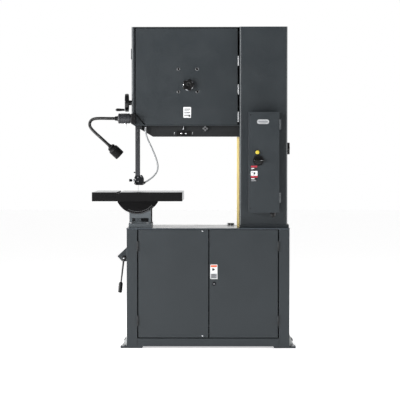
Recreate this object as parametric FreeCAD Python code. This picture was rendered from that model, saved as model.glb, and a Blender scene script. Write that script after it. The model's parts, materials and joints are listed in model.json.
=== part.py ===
import FreeCAD, Part
import os
from math import cos, pi, radians, sin, tan

# Vertical metal-cutting band saw: a floor cabinet with the drive and the lower wheel, a box column,
# a head with the upper wheel, a rise-and-fall blade guide, a tilting table and its controls.
# Millimetres. X to the right, Y to the rear, Z up. The origin is on the floor, at the centre of the
# four anchor holes. Every sub-part is one STEP file in parts/.

Vector = FreeCAD.Vector

# ---------------------------------------------------------------- driving sizes
# general clearances
GAP = 0.3            # between faces that move past each other
RUN = 0.05           # radial clearance of a shaft in its bore

# cabinet
CAB_W = 1084.0
CAB_D = 600.0
CAB_H = 800.0
TOP_T = 8.0
TOP_OVER = 2.0
POST_W = 70.0
POST_SIDE = 60.0
POST_T = 4.0
RAIL_D = 40.0
RAIL_TOP = 65.0
PANEL_T = 3.0
BULKHEAD_Y = 20.0
BULKHEAD_T = 8.0

# feet
FOOT_W = 146.0
FOOT_L = 120.0
FOOT_T = 12.0
FOOT_OUT = 42.0
GUSSET_H = 67.0
GUSSET_OUT = 35.0
GUSSET_T = 8.0
GUSSET_INSET = 38.0
ANCHOR_OUT = 21.0
ANCHOR_INSET = 80.0
ANCHOR_R = 9.0
LEVEL_R = 6.0
LEVEL_INSET = 15.0

# cabinet doors
DOOR_GAP = 8.0
DOOR_DEPTH = 18.0
DOOR_SKIN = 2.0
DOOR_SPLIT_X = 5.3
DOOR_SPLIT_GAP = 7.0
DOOR_TOP_GAP = 3.0
DOOR_BOTTOM_GAP = 6.0
LOCK_X = 39.6
LOCK_Z = 430.0
LOCK_R = 10.0
LOCK_STEM_R = 7.0

# hinges: lift-off barrels, lower half on the frame, upper half on the door
HINGE_R = 5.0
HINGE_PIN_R = 2.5
HINGE_STAND = 5.6
HINGE_LEAF = 2.0
HINGE_H = 66.0

# blade and wheels
BLADE_X = -475.3
BLADE_Y = -50.0
BLADE_W = 25.0
BLADE_T = 0.9
BLADE_WAY = 12.0
RETURN_WAY = 7.0
WHEEL_R = 338.0
WHEEL_W = 32.0
TYRE_T = 6.0
RIM_T = 16.0
WEB_T = 10.0
HUB_R = 40.0
LOWER_WHEEL_Z = 420.0
UPPER_WHEEL_Z = 1776.0
LIGHT_HOLES = 6
LIGHT_HOLE_R = 62.0
LIGHT_HOLE_ORBIT = 185.0
SPINDLE_R = 15.0
DRIVE_SHAFT_R = 20.0
BEARING_FLANGE_R = 80.0
BEARING_FLANGE_T = 14.0
BEARING_BODY_R = 52.0
BEARING_L = 98.0

# drive
MOTOR_X = 380.0
MOTOR_Z = 250.0
MOTOR_R = 100.0
MOTOR_FINS = 28
MOTOR_FIN_DEPTH = 9.0
MOTOR_Y0 = -90.0
MOTOR_Y1 = 75.0
FAN_COVER_L = 55.0
END_BELL_L = 37.0
MOTOR_FOOT_H = 10.0
MOTOR_BRACKET_W = 160.0
MOTOR_BRACKET_WALL = 6.0
VENT_ROWS = 6
VENT_PITCH = 24.0
VENT_H = 7.0
MOTOR_SHAFT_R = 12.0
TERMINAL_BOX_H = 40.0
BELT_Y = 165.0
BELT_TOP_W = 13.0
BELT_H = 8.0
BELT_FLANK = radians(20.0)
DRIVEN_R = 140.0
DRIVER_R = 45.0
PULLEY_W = 24.0

# column
COLUMN_X0 = 210.0
COLUMN_W = 321.0
COLUMN_D = 400.0
COLUMN_WALL = 6.0
COLUMN_EDGE_R = 13.0
FLANGE_T = 20.0
FLANGE_OUT = 10.0

# head
OVERALL_H = 2146.0
HEAD_X0 = -515.0
HEAD_Y0 = -170.0
HEAD_BOTTOM = 1411.0
HEAD_WALL = 6.0
SLOPE_SIDE_Z = 1495.0
SLOPE_BOTTOM_X = -374.0
STEP_Z = 1484.0
RECESS_Y = -120.0
VALVE_PANEL_T = 4.0
HEAD_DOOR_X0 = -487.0
HEAD_DOOR_X1 = 197.0
HEAD_DOOR_DEPTH = 10.0
HEAD_DOOR_PROUD = 2.0
HEAD_DOOR_CUT_X = -421.5
HEAD_DOOR_CUT_Z = 1569.0
HEAD_HINGES_Z = (1542.0, 1727.0, 1918.0)
CLAMP_KNOB_X = -133.0
CLAMP_KNOB_Z = 1755.0
CLAMP_KNOB_R = 40.0
CLAMP_KNOB_L = 36.0
CLAMP_BOSS_R = 16.0
CLAMP_STUD_R = 6.0
LATCH_Z0 = 1931.0
LATCH_Z1 = 2000.0

# upper wheel slide
SLIDE_HALF_W = 50.0
SLIDE_HALF_H = 80.0
SLIDE_T = 39.4
RAIL_W = 20.0
RAIL_LIP = 8.0
RAIL_HALF_H = 170.0
TENSION_TRAVEL = 15.0
TENSION_SCREW_R = 10.0
TENSION_COLLAR_R = 17.0
THRUST_DROP = 60.0
THRUST_T = 30.0

# guide post, its housing and the rack drive
POST_X0 = -491.5
POST_WIDTH = 31.0
POST_FRONT = -130.0
POST_DEPTH = 38.0
POST_BOTTOM = 1148.0
POST_TOP = 1800.0
POST_TRAVEL = 250.0
POST_SCREW_Z = 1169.5
POST_SCREW_R = 2.5
HOUSING_WALL = 17.2
HOUSING_Z1 = 1690.0
RACK_MODULE = 1.5
RACK_W = 12.0
RACK_DEDENDUM = 1.9
RACK_FLANK = radians(20.0)
PINION_TEETH = 12
PINION_Z = 1638.0
PINION_SHAFT_R = 8.0
HANDWHEEL_R = 61.5
HANDWHEEL_RIM = 25.0
HANDWHEEL_BOSS = 19.0
HANDWHEEL_HUB_R = 17.0
HANDWHEEL_HOLES = 3
HANDWHEEL_HOLE_R = 12.0
HANDWHEEL_HOLE_ORBIT = 33.0
CRANK_R = 47.0
CRANK_PIN_R = 4.0
CRANK_GRIP_R = 10.0
CRANK_GRIP_L = 55.0

# blade guide
GUIDE_BOTTOM = 1084.0
GUIDE_DEPTH = 60.0
ARM_Z0 = 1088.0
ARM_Z1 = 1118.0
ARM_REAR = -18.0
GUIDE_SLOT = 4.7
INSERT_GAP = 0.3
BACKUP_R = 11.0
BACKUP_PIN_R = 3.0
THUMB_Y = -98.0
THUMB_Z = 1116.0
THUMB_R = 9.0
THUMB_SHANK_R = 4.0
THUMB_RIDGES = 24

# table, tilting about a front-to-rear line through the blade in the table's top face
TABLE_W = 600.0
TABLE_D = 600.0
TABLE_X0 = -770.0
TABLE_Y0 = -350.0
TABLE_TOP = 1040.0
TABLE_EDGE = 60.0
TABLE_PLATE = 25.0
TSLOT_FROM_BLADE = 123.0
TSLOT_W = 20.0
TSLOT_DEPTH = 8.0
INSERT_R = 35.0
INSERT_T = 6.0
TABLE_HOLE_R = 30.0
BLADE_SLOT_W = 3.0
TRUNNION_R = 150.0
TRUNNION_T = 30.0
TRUNNION_HALF_W = 133.0
TRUNNION_FRONT_Y = -190.0
TRUNNION_REAR_Y = 60.0
PAD_MARGIN = 10.0
BASE_X0 = -529.0
BASE_X1 = -385.0
BASE_FOOT = 28.0
LOWER_GUIDE_FOOT = 10.0
LOWER_GUIDE_H = 42.0
LOWER_GUIDE_SLOT = 0.35
WINDOW_Z0 = 838.0
WINDOW_Z1 = 864.0
WINDOW_X0 = -511.0
WINDOW_X1 = -400.0
SADDLE_TOP = TABLE_TOP - 119
BOLT_R = 5.0
BOLT_HEAD = 16.0
BOLT_HEAD_H = 7.0
REAR_BOLT_XS = (141.0, 167.0)
REAR_BOLT_Y = 250.0
REAR_BOLT_R = 8.0

# return blade guard
GUARD_X0 = 193.6
GUARD_WIDTH = 46.0
GUARD_WALL = 2.0
GUARD_END_GAP = 2.0
GUARD_HINGE_X = 204.0
GUARD_HINGE_Y = -20.0
GUARD_HINGES_Z = (1034.0, 1252.0)

# control box
BOX_X0 = 270.6
BOX_X1 = 471.8
BOX_Z0 = 905.0
BOX_Z1 = 1572.0
BOX_DEPTH = 150.0
BOX_WALL = 2.0
BOX_DOOR_DEPTH = 14.0
BOX_HINGES_Z = (1004.0, 1489.0)
SWITCH_X = 332.8
SWITCH_Z = 1251.0
SWITCH_R = 33.0
SWITCH_SHAFT_R = 8.0
SWITCH_DISC_T = 8.0
SWITCH_BAR_L = 60.0
SWITCH_BAR_H = 14.0
SWITCH_BAR_T = 18.0
BUTTON_X = 326.8
BUTTON_Z = 1305.0
BUTTON_R = 14.5
BUTTON_STEM_R = 11.0
BUTTON_TRAVEL = 4.0
GLAND_X = 433.5
GLAND_Y = -262.0
GLAND_FLATS = 36.0
GLAND_NUT_H = 13.0
GLAND_L = 33.0

# lamp
LAMP_Y = -200.0
LAMP_Z = 1531.5
LAMP_BASE_R = 34.0
LAMP_BASE_L = 87.0
LAMP_BLOCK_W = 29.0
LAMP_BLOCK_BELOW = 37.5
LAMP_BLOCK_ABOVE = 31.5
NECK_R = 11.0
SHADE_R = 35.0
SHADE_L = 98.0
SHADE_WALL = 2.5
SHADE_NOTCHES = 18
LENS_T = 3.0
LENS_IN = 8.0
TOGGLE_X = -553.0
TOGGLE_Z = 1494.0
TOGGLE_BALL_R = 4.7
TOGGLE_PIVOT_R = 1.5
TOGGLE_PIVOT_SEAT = 0.9      # how far the pin reaches into the bush's wall
TOGGLE_PIVOT_GAP = 0.1
TOGGLE_BUSH_R = 7.0
TOGGLE_L = 20.0

# gear lever
GEAR_Y0 = -190.0
GEAR_Y1 = -100.0
GEAR_PIVOT_OUT = 24.0
GEAR_PIVOT_Z = 596.0
GEAR_SHAFT_R = 7.0
GEAR_GRIP_R = 14.0
GEAR_GRIP_L = 70.0
GEAR_BOSS_R = 15.0
GEAR_ARM_T = 10.0
GEAR_ARM_DROP = 170.0
GEAR_ARM_OUT = 20.0
GEAR_SHAFT_L = 58.0
GEAR_HOUSING_Z0 = 573.0
GEAR_HOUSING_Z1 = 672.0
GEAR_HOUSING_OUT = 68.0

# small controls on the valve panel and the column
PUSH_XS = {"button_left": -180.0, "button_right": -150.0}
PUSH_Z = 1433.0
PUSH_R = 6.0
PUSH_STEM_R = 4.0
PUSH_TRAVEL = 3.0
VALVE_X = -20.0
VALVE_Z = 1465.0
VALVE_R = 17.0
VALVE_SHAFT_R = 5.0
SIDE_KNOB_Y = 0.0
SIDE_KNOB_Z = 1331.0
SIDE_KNOB_R = 44.0
SIDE_KNOB_L = 22.0
SIDE_SHAFT_R = 7.0

# air hose, limp, held by its fitting at the top and by the nozzle on the blade guide
HOSE_R = 6.0
HOSE_ROUTE = [
    (-422.0, -150.0, 1462.0),
    (-422.0, -150.0, 1430.0),
    (-401.0, -150.0, 1378.0),
    (-373.0, -147.0, 1320.0),
    (-350.0, -142.0, 1262.0),
    (-338.5, -137.0, 1216.0),
    (-342.0, -131.0, 1180.0),
    (-363.0, -125.0, 1149.0),
    (-394.0, -118.0, 1122.0),
    (-428.0, -112.0, 1102.0),
]
NOZZLE_R = 8.0
NOZZLE_L = 22.0
ELBOW_R = 8.0
ELBOW_Z = 1474.0

# gooseneck of the lamp, self-supporting
NECK_ROUTE = [
    (-615.0, -200.0, 1531.5),
    (-665.0, -200.0, 1531.5),
    (-715.0, -199.0, 1533.0),
    (-764.0, -198.0, 1531.0),
    (-787.0, -196.0, 1518.5),
    (-796.5, -194.0, 1495.5),
    (-791.0, -191.0, 1471.0),
    (-759.0, -187.0, 1437.0),
    (-712.0, -179.0, 1395.0),
    (-664.0, -170.0, 1350.0),
]
ARC_SHARE = 0.45     # share of the shorter run that a tangent arc takes up

# ---------------------------------------------------------------- worked-out places
SIDE_X = CAB_W / 2
GEAR_PIVOT_X = -SIDE_X - GEAR_PIVOT_OUT
FRONT_Y = -CAB_D / 2
REAR_Y = CAB_D / 2
PLATE_UNDER = CAB_H - TOP_T
BLADE_R = WHEEL_R + GAP + BLADE_T / 2
WHEEL_X = BLADE_X + BLADE_R
RETURN_X = WHEEL_X + BLADE_R
COLUMN_X1 = COLUMN_X0 + COLUMN_W
COLUMN_Y0 = -COLUMN_D / 2
COLUMN_Y1 = COLUMN_D / 2
HEAD_BACK_Y = BULKHEAD_Y + BULKHEAD_T
HEAD_DOOR_Y = HEAD_Y0 - HEAD_DOOR_PROUD
HEAD_DOOR_Z0 = STEP_Z + HEAD_WALL
HEAD_DOOR_Z1 = OVERALL_H - HEAD_WALL - 4.0
BLADE_FRONT = BLADE_Y - BLADE_W / 2
BLADE_REAR = BLADE_Y + BLADE_W / 2
HUB_FRONT = BLADE_Y - 30.0
HUB_REAR = BLADE_Y + 20.0
POST_X1 = POST_X0 + POST_WIDTH
POST_REAR = POST_FRONT + POST_DEPTH
POST_MID_X = POST_X0 + POST_WIDTH / 2
RACK_PITCH_Y = POST_FRONT - 2 * RACK_MODULE
PINION_Y = RACK_PITCH_Y - PINION_TEETH * RACK_MODULE / 2
HOUSING_X0 = HEAD_X0 + HEAD_WALL
HOUSING_X1 = POST_X1 + HOUSING_WALL
HOUSING_Y0 = HEAD_DOOR_Y + HEAD_DOOR_DEPTH + 2.0
HOUSING_Y1 = BLADE_FRONT - 9.5
BOX_Y0 = COLUMN_Y0 - BOX_DEPTH
PANEL_FRONT = RECESS_Y - VALVE_PANEL_T
TABLE_UNDER = TABLE_TOP - TABLE_EDGE
TABLE_MID_Y = TABLE_Y0 + TABLE_D / 2

ALONG = {"x": Vector(1, 0, 0), "y": Vector(0, 1, 0), "z": Vector(0, 0, 1)}
OUTWARD = {"x": Vector(0, 0, 1), "y": Vector(1, 0, 0), "z": Vector(1, 0, 0)}


# ---------------------------------------------------------------- shape helpers
def box(x0, x1, y0, y1, z0, z1):
    """Block between two opposite corners."""
    return Part.makeBox(x1 - x0, y1 - y0, z1 - z0, Vector(x0, y0, z0))


def rod(axis, centre, radius, start, end):
    """Cylinder about a line through centre, from start to end along the axis."""
    base = Vector(*centre) + ALONG[axis] * start
    return Part.makeCylinder(radius, end - start, base, ALONG[axis])


def ring(axis, centre, outer, inner, start, end):
    """Cylinder with a bore right through it."""
    return rod(axis, centre, outer, start, end).cut(rod(axis, centre, inner, start - 1, end + 1))


def turned(axis, centre, profile):
    """Solid of revolution from (radius, place along the axis) pairs."""
    base = Vector(*centre)
    corners = [base + OUTWARD[axis] * r + ALONG[axis] * a for r, a in profile]
    face = Part.Face(Part.makePolygon(corners + corners[:1]))
    return face.revolve(base, ALONG[axis], 360)


def plate_xz(points, y0, y1):
    """Outline in X and Z, given its thickness along Y."""
    corners = [Vector(x, y0, z) for x, z in points]
    face = Part.Face(Part.makePolygon(corners + corners[:1]))
    return face.extrude(Vector(0, y1 - y0, 0))


def plate_yz(points, x0, x1):
    """Outline in Y and Z, given its thickness along X."""
    corners = [Vector(x0, y, z) for y, z in points]
    face = Part.Face(Part.makePolygon(corners + corners[:1]))
    return face.extrude(Vector(x1 - x0, 0, 0))


def hexagon(centre, across, z0, z1):
    """Upright hexagonal prism, across flats."""
    x, y = centre
    reach = across / 2 / cos(pi / 6)
    corners = [Vector(x + reach * cos(k * pi / 3), y + reach * sin(k * pi / 3), z0) for k in range(6)]
    face = Part.Face(Part.makePolygon(corners + corners[:1]))
    return face.extrude(Vector(0, 0, z1 - z0))


def joined(*shapes):
    """One solid from pieces that meet."""
    return shapes[0].multiFuse(list(shapes[1:])).removeSplitter()


def group(*shapes):
    """Separate solids that share one node."""
    return Part.makeCompound(list(shapes))


def lobed(axis, centre, radius, lobes, start, end):
    """Star knob: a cylinder with grooves round its rim."""
    knob = rod(axis, centre, radius, start, end)
    groove_r = radius * 0.26
    orbit = radius * 1.08
    side = ALONG[axis].cross(OUTWARD[axis])
    grooves = []
    for k in range(lobes):
        angle = 2 * pi * (k + 0.5) / lobes
        offset = (OUTWARD[axis] * cos(angle) + side * sin(angle)) * orbit
        base = Vector(*centre) + offset + ALONG[axis] * (start - 1)
        grooves.append(Part.makeCylinder(groove_r, end - start + 2, base, ALONG[axis]))
    return knob.cut(Part.makeCompound(grooves))


def hinge(x, y, z_mid, frame_leaf, door_leaf, height=HINGE_H):
    """Lift-off hinge on an upright pin: (frame half with its pin, door half); leaves are x0, x1, y0, y1."""
    z0 = z_mid - height / 2
    z1 = z_mid + height / 2
    at = (x, y, 0)
    lower = joined(
        rod("z", at, HINGE_R, z0, z_mid - GAP),
        rod("z", at, HINGE_PIN_R, z0, z1 - 2),
        box(*frame_leaf, z0, z_mid - GAP),
    )
    upper = joined(rod("z", at, HINGE_R, z_mid, z1), box(*door_leaf, z_mid, z1))
    upper = upper.cut(rod("z", at, HINGE_PIN_R + RUN, z_mid - 1, z1 - 1))
    return lower, upper


def pan(outline, y_front, depth, skin, wall):
    """Door pan open to the rear: a front skin with a folded edge all round, outline convex in X and Z."""
    solid = plate_xz(outline, y_front, y_front + depth)
    wire = Part.makePolygon([Vector(x, 0, z) for x, z in outline + outline[:1]])
    inner = wire.makeOffset2D(-wall, 2)
    hollow = Part.Face(inner).extrude(Vector(0, depth, 0))
    hollow.translate(Vector(0, y_front + skin, 0))
    return solid.cut(hollow)


def tube_path(points):
    """Straight runs joined by tangent arcs: (wire, arc radii)."""
    edges = []
    radii = []
    start = points[0]
    for before, here, after in zip(points, points[1:], points[2:]):
        back = before - here
        ahead = after - here
        turn = pi - back.getAngle(ahead)
        setback = ARC_SHARE * min(back.Length, ahead.Length)
        radius = setback / tan(turn / 2)
        radii.append(radius)
        first = here + back * (setback / back.Length)
        last = here + ahead * (setback / ahead.Length)
        inward = (first + last) * 0.5 - here
        crown = here + inward * (radius * (1 / cos(turn / 2) - 1) / inward.Length)
        edges.append(Part.LineSegment(start, first).toShape())
        edges.append(Part.Arc(first, crown, last).toShape())
        start = last
    edges.append(Part.LineSegment(start, points[-1]).toShape())
    return Part.Wire(edges), radii


def tube_along(route, radius, name):
    """Round tube on a route; prints its length, tightest arc and volume against section times length."""
    points = [Vector(*p) for p in route]
    path, radii = tube_path(points)
    section = Part.Wire(Part.makeCircle(radius, points[0], points[1] - points[0]))
    tube = path.makePipeShell([section], True, False)
    share = tube.Volume / (pi * radius ** 2 * path.Length)
    print(f"{name}: length {path.Length:.0f}, radii {[round(r) for r in radii]}, volume ratio {share:.4f}")
    return tube


# ---------------------------------------------------------------- cabinet
def foot_brackets():
    """Four foot plates, each with its gusset against the cabinet's side and an anchor hole."""
    feet = []
    for sx in (-1, 1):
        for sy in (-1, 1):
            x_out = sx * (SIDE_X + FOOT_OUT)
            x_in = x_out - sx * FOOT_W
            y_out = sy * REAR_Y
            y_in = y_out - sy * FOOT_L
            plate = box(min(x_out, x_in), max(x_out, x_in), min(y_out, y_in), max(y_out, y_in), 0, FOOT_T)
            y_gusset = sy * (REAR_Y - GUSSET_INSET) - GUSSET_T / 2
            corners = [
                (sx * SIDE_X, FOOT_T),
                (sx * (SIDE_X + GUSSET_OUT), FOOT_T),
                (sx * SIDE_X, FOOT_T + GUSSET_H),
            ]
            foot = joined(plate, plate_xz(corners, y_gusset, y_gusset + GUSSET_T))
            x_hole = sx * (SIDE_X + ANCHOR_OUT)
            anchor = rod("z", (x_hole, sy * (REAR_Y - ANCHOR_INSET), 0), ANCHOR_R, -1, FOOT_T + 1)
            level = rod("z", (x_hole, sy * (REAR_Y - LEVEL_INSET), 0), LEVEL_R + GAP, -1, FOOT_T + 1)
            feet.append(foot.cut(anchor).cut(level))
    return group(*feet)


def hex_bolt(x, y, z_seat, radius, across, head, length):
    """Upright hexagon-headed bolt: its head sits on z_seat."""
    shank = rod("z", (x, y, 0), radius, z_seat - length, z_seat)
    return joined(shank, hexagon((x, y), across, z_seat, z_seat + head))


def machine_bolts():
    """Levelling bolts in the feet, bolts of the trunnion base, two bolts at the rear of the top plate."""
    bolts = []
    for sx in (-1, 1):
        for sy in (-1, 1):
            x = sx * (SIDE_X + ANCHOR_OUT)
            y = sy * (REAR_Y - LEVEL_INSET)
            bolts.append(hex_bolt(x, y, FOOT_T, LEVEL_R, 20.0, 10.0, FOOT_T - 0.5))
    base_z = CAB_H + BASE_FOOT
    for x in base_bolt_xs():
        for y in base_bolt_ys():
            bolts.append(hex_bolt(x, y, base_z, BOLT_R, BOLT_HEAD, BOLT_HEAD_H, BASE_FOOT))
    for x in REAR_BOLT_XS:
        bolts.append(hex_bolt(x, REAR_BOLT_Y, CAB_H, REAR_BOLT_R, 22.0, 15.0, TOP_T))
    return group(*bolts)


def base_bolt_xs():
    """X of the trunnion base's bolts."""
    return (BASE_X0 + 16.0, BASE_X1 - 20.0)


def base_bolt_ys():
    """Y of the trunnion base's bolts."""
    return (TRUNNION_FRONT_Y - 13.0, TRUNNION_REAR_Y + TRUNNION_T + 13.0)


def cabinet_frame():
    """Four folded corner posts welded to channel rails."""
    pieces = []
    z0 = FOOT_T
    for sx in (-1, 1):
        for sy in (-1, 1):
            x = sorted((sx * SIDE_X, sx * (SIDE_X - POST_W)))
            y = sorted((sy * REAR_Y, sy * (REAR_Y - POST_T)))
            pieces.append(box(*x, *y, z0, PLATE_UNDER))
            x = sorted((sx * SIDE_X, sx * (SIDE_X - POST_T)))
            y = sorted((sy * REAR_Y, sy * (REAR_Y - POST_SIDE)))
            pieces.append(box(*x, *y, z0, PLATE_UNDER))
    for sy in (-1, 1):
        reach = SIDE_X - POST_W
        web = sorted((sy * REAR_Y, sy * (REAR_Y - POST_T)))
        lip = sorted((sy * REAR_Y, sy * (REAR_Y - RAIL_D)))
        pieces.append(box(-reach, reach, *web, z0, RAIL_TOP))
        pieces.append(box(-reach, reach, *lip, RAIL_TOP - POST_T, RAIL_TOP))
        pieces.append(box(-reach, reach, *lip, z0, z0 + POST_T))
    for sx in (-1, 1):
        reach = REAR_Y - POST_SIDE
        web = sorted((sx * SIDE_X, sx * (SIDE_X - POST_T)))
        lip = sorted((sx * SIDE_X, sx * (SIDE_X - RAIL_D)))
        pieces.append(box(*web, -reach, reach, z0, RAIL_TOP))
        pieces.append(box(*lip, -reach, reach, RAIL_TOP - POST_T, RAIL_TOP))
    return joined(*pieces)


def cabinet_top_plate():
    """Top plate with the two openings that the blade runs through."""
    x = SIDE_X + TOP_OVER
    y = REAR_Y + TOP_OVER
    plate = box(-x, x, -y, y, PLATE_UNDER, CAB_H)
    for blade_x, half in ((BLADE_X, BLADE_WAY), (RETURN_X, RETURN_WAY)):
        slot = box(blade_x - half, blade_x + half, BLADE_FRONT - 4, BLADE_REAR + 4, PLATE_UNDER - 1, CAB_H + 1)
        plate = plate.cut(slot)
    for x in base_bolt_xs():
        for y in base_bolt_ys():
            plate = plate.cut(rod("z", (x, y, 0), BOLT_R, PLATE_UNDER - 1, CAB_H + 1))
    for x in REAR_BOLT_XS:
        plate = plate.cut(rod("z", (x, REAR_BOLT_Y, 0), REAR_BOLT_R, PLATE_UNDER - 1, CAB_H + 1))
    return plate


def cabinet_panels():
    """Side panels, rear panel and the floor pan with the motor's bracket welded on."""
    reach = REAR_Y - POST_SIDE
    sides = [
        box(-SIDE_X, -SIDE_X + PANEL_T, -reach, reach, RAIL_TOP, PLATE_UNDER),
        box(SIDE_X - PANEL_T, SIDE_X, -reach, reach, RAIL_TOP, PLATE_UNDER),
    ]
    rear_x = SIDE_X - POST_W
    rear = box(-rear_x, rear_x, REAR_Y - PANEL_T, REAR_Y, RAIL_TOP, PLATE_UNDER)
    for row in range(VENT_ROWS):
        z = MOTOR_Z + row * VENT_PITCH
        vent = box(MOTOR_X - 90, MOTOR_X + 70, REAR_Y - PANEL_T - 1, REAR_Y + 1, z, z + VENT_H)
        rear = rear.cut(vent)
    pan_x = SIDE_X - PANEL_T - 2.0
    floor = box(-pan_x, pan_x, FRONT_Y + DOOR_DEPTH + 4, REAR_Y - PANEL_T - 2, RAIL_TOP, floor_top())
    half = MOTOR_BRACKET_W / 2
    bracket_z = MOTOR_Z - MOTOR_R - MOTOR_FOOT_H
    bracket = box(MOTOR_X - half, MOTOR_X + half, MOTOR_Y0, 0, floor_top(), bracket_z)
    w = MOTOR_BRACKET_WALL
    hollow = box(MOTOR_X - half + w, MOTOR_X + half - w, MOTOR_Y0 - 1, 1, floor_top(), bracket_z - w)
    return group(*sides, rear, joined(floor, bracket.cut(hollow)))


def floor_top():
    """Top face of the cabinet's floor pan."""
    return RAIL_TOP + PANEL_T


def wheel_bulkhead():
    """Upright plate behind the lower wheel; it carries the bearing housing and is notched for the motor."""
    x = SIDE_X - PANEL_T - GAP
    y0 = BULKHEAD_Y
    y1 = BULKHEAD_Y + BULKHEAD_T
    plate = box(-x, x, y0, y1, floor_top(), PLATE_UNDER)
    notch_r = MOTOR_R + 12.0
    notch_top = MOTOR_Z + MOTOR_R + TERMINAL_BOX_H + 12.0
    notch = box(MOTOR_X - notch_r, MOTOR_X + notch_r, y0 - 1, y1 + 1, floor_top() - 1, notch_top)
    bore = rod("y", (WHEEL_X, 0, LOWER_WHEEL_Z), DRIVE_SHAFT_R + 10, y0 - 1, y1 + 1)
    return plate.cut(notch).cut(bore)


def lower_bearing_housing():
    """Flanged housing on the bulkhead's rear face, bored for the drive shaft."""
    y0 = BULKHEAD_Y + BULKHEAD_T
    bore = DRIVE_SHAFT_R + RUN
    y1 = y0 + BEARING_L
    profile = [(bore, y0), (BEARING_FLANGE_R, y0), (BEARING_FLANGE_R, y0 + BEARING_FLANGE_T),
               (BEARING_BODY_R + 6, y0 + BEARING_FLANGE_T + 6), (BEARING_BODY_R, y1), (bore, y1)]
    return turned("y", (WHEEL_X, 0, LOWER_WHEEL_Z), profile)


def drive_motor():
    """Finned motor lying front to rear, with end bells, terminal box and feet."""
    at = (MOTOR_X, 0, MOTOR_Z)
    outline = []
    for k in range(2 * MOTOR_FINS):
        radius = MOTOR_R if k % 2 == 0 else MOTOR_R - MOTOR_FIN_DEPTH
        for shift in (-0.28, 0.28):
            angle = pi * (k + shift) / MOTOR_FINS
            outline.append((MOTOR_X + radius * cos(angle), MOTOR_Z + radius * sin(angle)))
    body = plate_xz(outline, MOTOR_Y0, MOTOR_Y1)
    cover_r = MOTOR_R - 8
    cover_y0 = MOTOR_Y0 - FAN_COVER_L
    fan_cover = turned("y", at, [(0, cover_y0), (cover_r - 8, cover_y0), (cover_r, cover_y0 + 8), (cover_r, MOTOR_Y0),
                                 (0, MOTOR_Y0)])
    bell_r = MOTOR_R - 6
    bell_y1 = MOTOR_Y1 + END_BELL_L
    bell = turned("y", at, [(0, MOTOR_Y1), (bell_r, MOTOR_Y1), (bell_r, MOTOR_Y1 + 17), (60, bell_y1 - 8),
                            (30, bell_y1), (0, bell_y1)])
    box_z = MOTOR_Z + MOTOR_R
    terminal_box = box(MOTOR_X - 48, MOTOR_X + 48, -45, 40, box_z - 14, box_z + TERMINAL_BOX_H)
    foot_z = MOTOR_Z - MOTOR_R - MOTOR_FOOT_H
    feet = [box(MOTOR_X + s * 52 - 18, MOTOR_X + s * 52 + 18, -80, -10, foot_z, MOTOR_Z - 80) for s in (-1, 1)]
    motor = joined(body, fan_cover, bell, terminal_box, *feet)
    return motor.cut(rod("y", at, MOTOR_SHAFT_R + RUN, 50, 120))


def groove_profile(pitch_r, bore_r):
    """Half-section of a V-belt pulley: (radius, place along Y) pairs."""
    top_r = pitch_r + 2.5
    bottom_r = pitch_r - 6.5
    belt_r = pitch_r + 3.0
    top_half = BELT_TOP_W / 2 - (belt_r - top_r) * tan(BELT_FLANK) + 0.35
    bottom_half = BELT_TOP_W / 2 - (belt_r - bottom_r) * tan(BELT_FLANK) + 0.35
    half = PULLEY_W / 2
    return [
        (bore_r, BELT_Y - half),
        (top_r, BELT_Y - half),
        (top_r, BELT_Y - top_half),
        (bottom_r, BELT_Y - bottom_half),
        (bottom_r, BELT_Y + bottom_half),
        (top_r, BELT_Y + top_half),
        (top_r, BELT_Y + half),
        (bore_r, BELT_Y + half),
    ]


def driven_pulley():
    """Large pulley keyed to the drive shaft that carries the lower wheel."""
    at = (WHEEL_X, 0, LOWER_WHEEL_Z)
    pulley = turned("y", at, groove_profile(DRIVEN_R, 0.0))
    for y0, y1 in ((BELT_Y - PULLEY_W / 2 - 1, BELT_Y - 4), (BELT_Y + 4, BELT_Y + PULLEY_W / 2 + 1)):
        pulley = pulley.cut(ring("y", at, DRIVEN_R - 20, 42, y0, y1))
    shaft = rod("y", at, DRIVE_SHAFT_R, HUB_FRONT - 12, BELT_Y + 30)
    return joined(pulley, shaft)


def motor_pulley():
    """Small pulley on the motor's shaft."""
    at = (MOTOR_X, 0, MOTOR_Z)
    shaft = rod("y", at, MOTOR_SHAFT_R, 55, BELT_Y + 20)
    return joined(turned("y", at, groove_profile(DRIVER_R, 0.0)), shaft)


def drive_belt():
    """V-belt round both pulleys: two straight runs and two wraps."""
    big = Vector(WHEEL_X, BELT_Y, LOWER_WHEEL_Z)
    small = Vector(MOTOR_X, BELT_Y, MOTOR_Z)
    apart = small - big
    along = Vector(apart).normalize()
    across = Vector(0, 1, 0).cross(along)
    lean = (DRIVEN_R - DRIVER_R) / apart.Length
    level = (1 - lean ** 2) ** 0.5
    half_top = BELT_TOP_W / 2
    half_low = half_top - BELT_H * tan(BELT_FLANK)

    def section(centre, radius, outward):
        """Belt section on the ray that leaves a pulley's centre along outward."""
        spots = [
            (radius + 3, -half_top),
            (radius + 3, half_top),
            (radius + 3 - BELT_H, half_low),
            (radius + 3 - BELT_H, -half_low),
        ]
        corners = [centre + outward * r + Vector(0, y, 0) for r, y in spots]
        return Part.Face(Part.makePolygon(corners + corners[:1]))

    pieces = []
    for side in (-1, 1):
        normal = along * lean + across * (side * level)
        face = section(big, DRIVEN_R, normal)
        run = (small + normal * DRIVER_R) - (big + normal * DRIVEN_R)
        pieces.append(face.extrude(run))
    start = along * lean + across * level
    finish = along * lean - across * level
    wrap_small = start.getAngle(finish) * 180 / pi
    spin = Vector(0, 1, 0)
    pieces.append(section(small, DRIVER_R, finish).revolve(small, spin, -wrap_small))
    pieces.append(section(big, DRIVEN_R, finish).revolve(big, spin, 360 - wrap_small))
    return pieces[0].multiFuse(pieces[1:])


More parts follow.
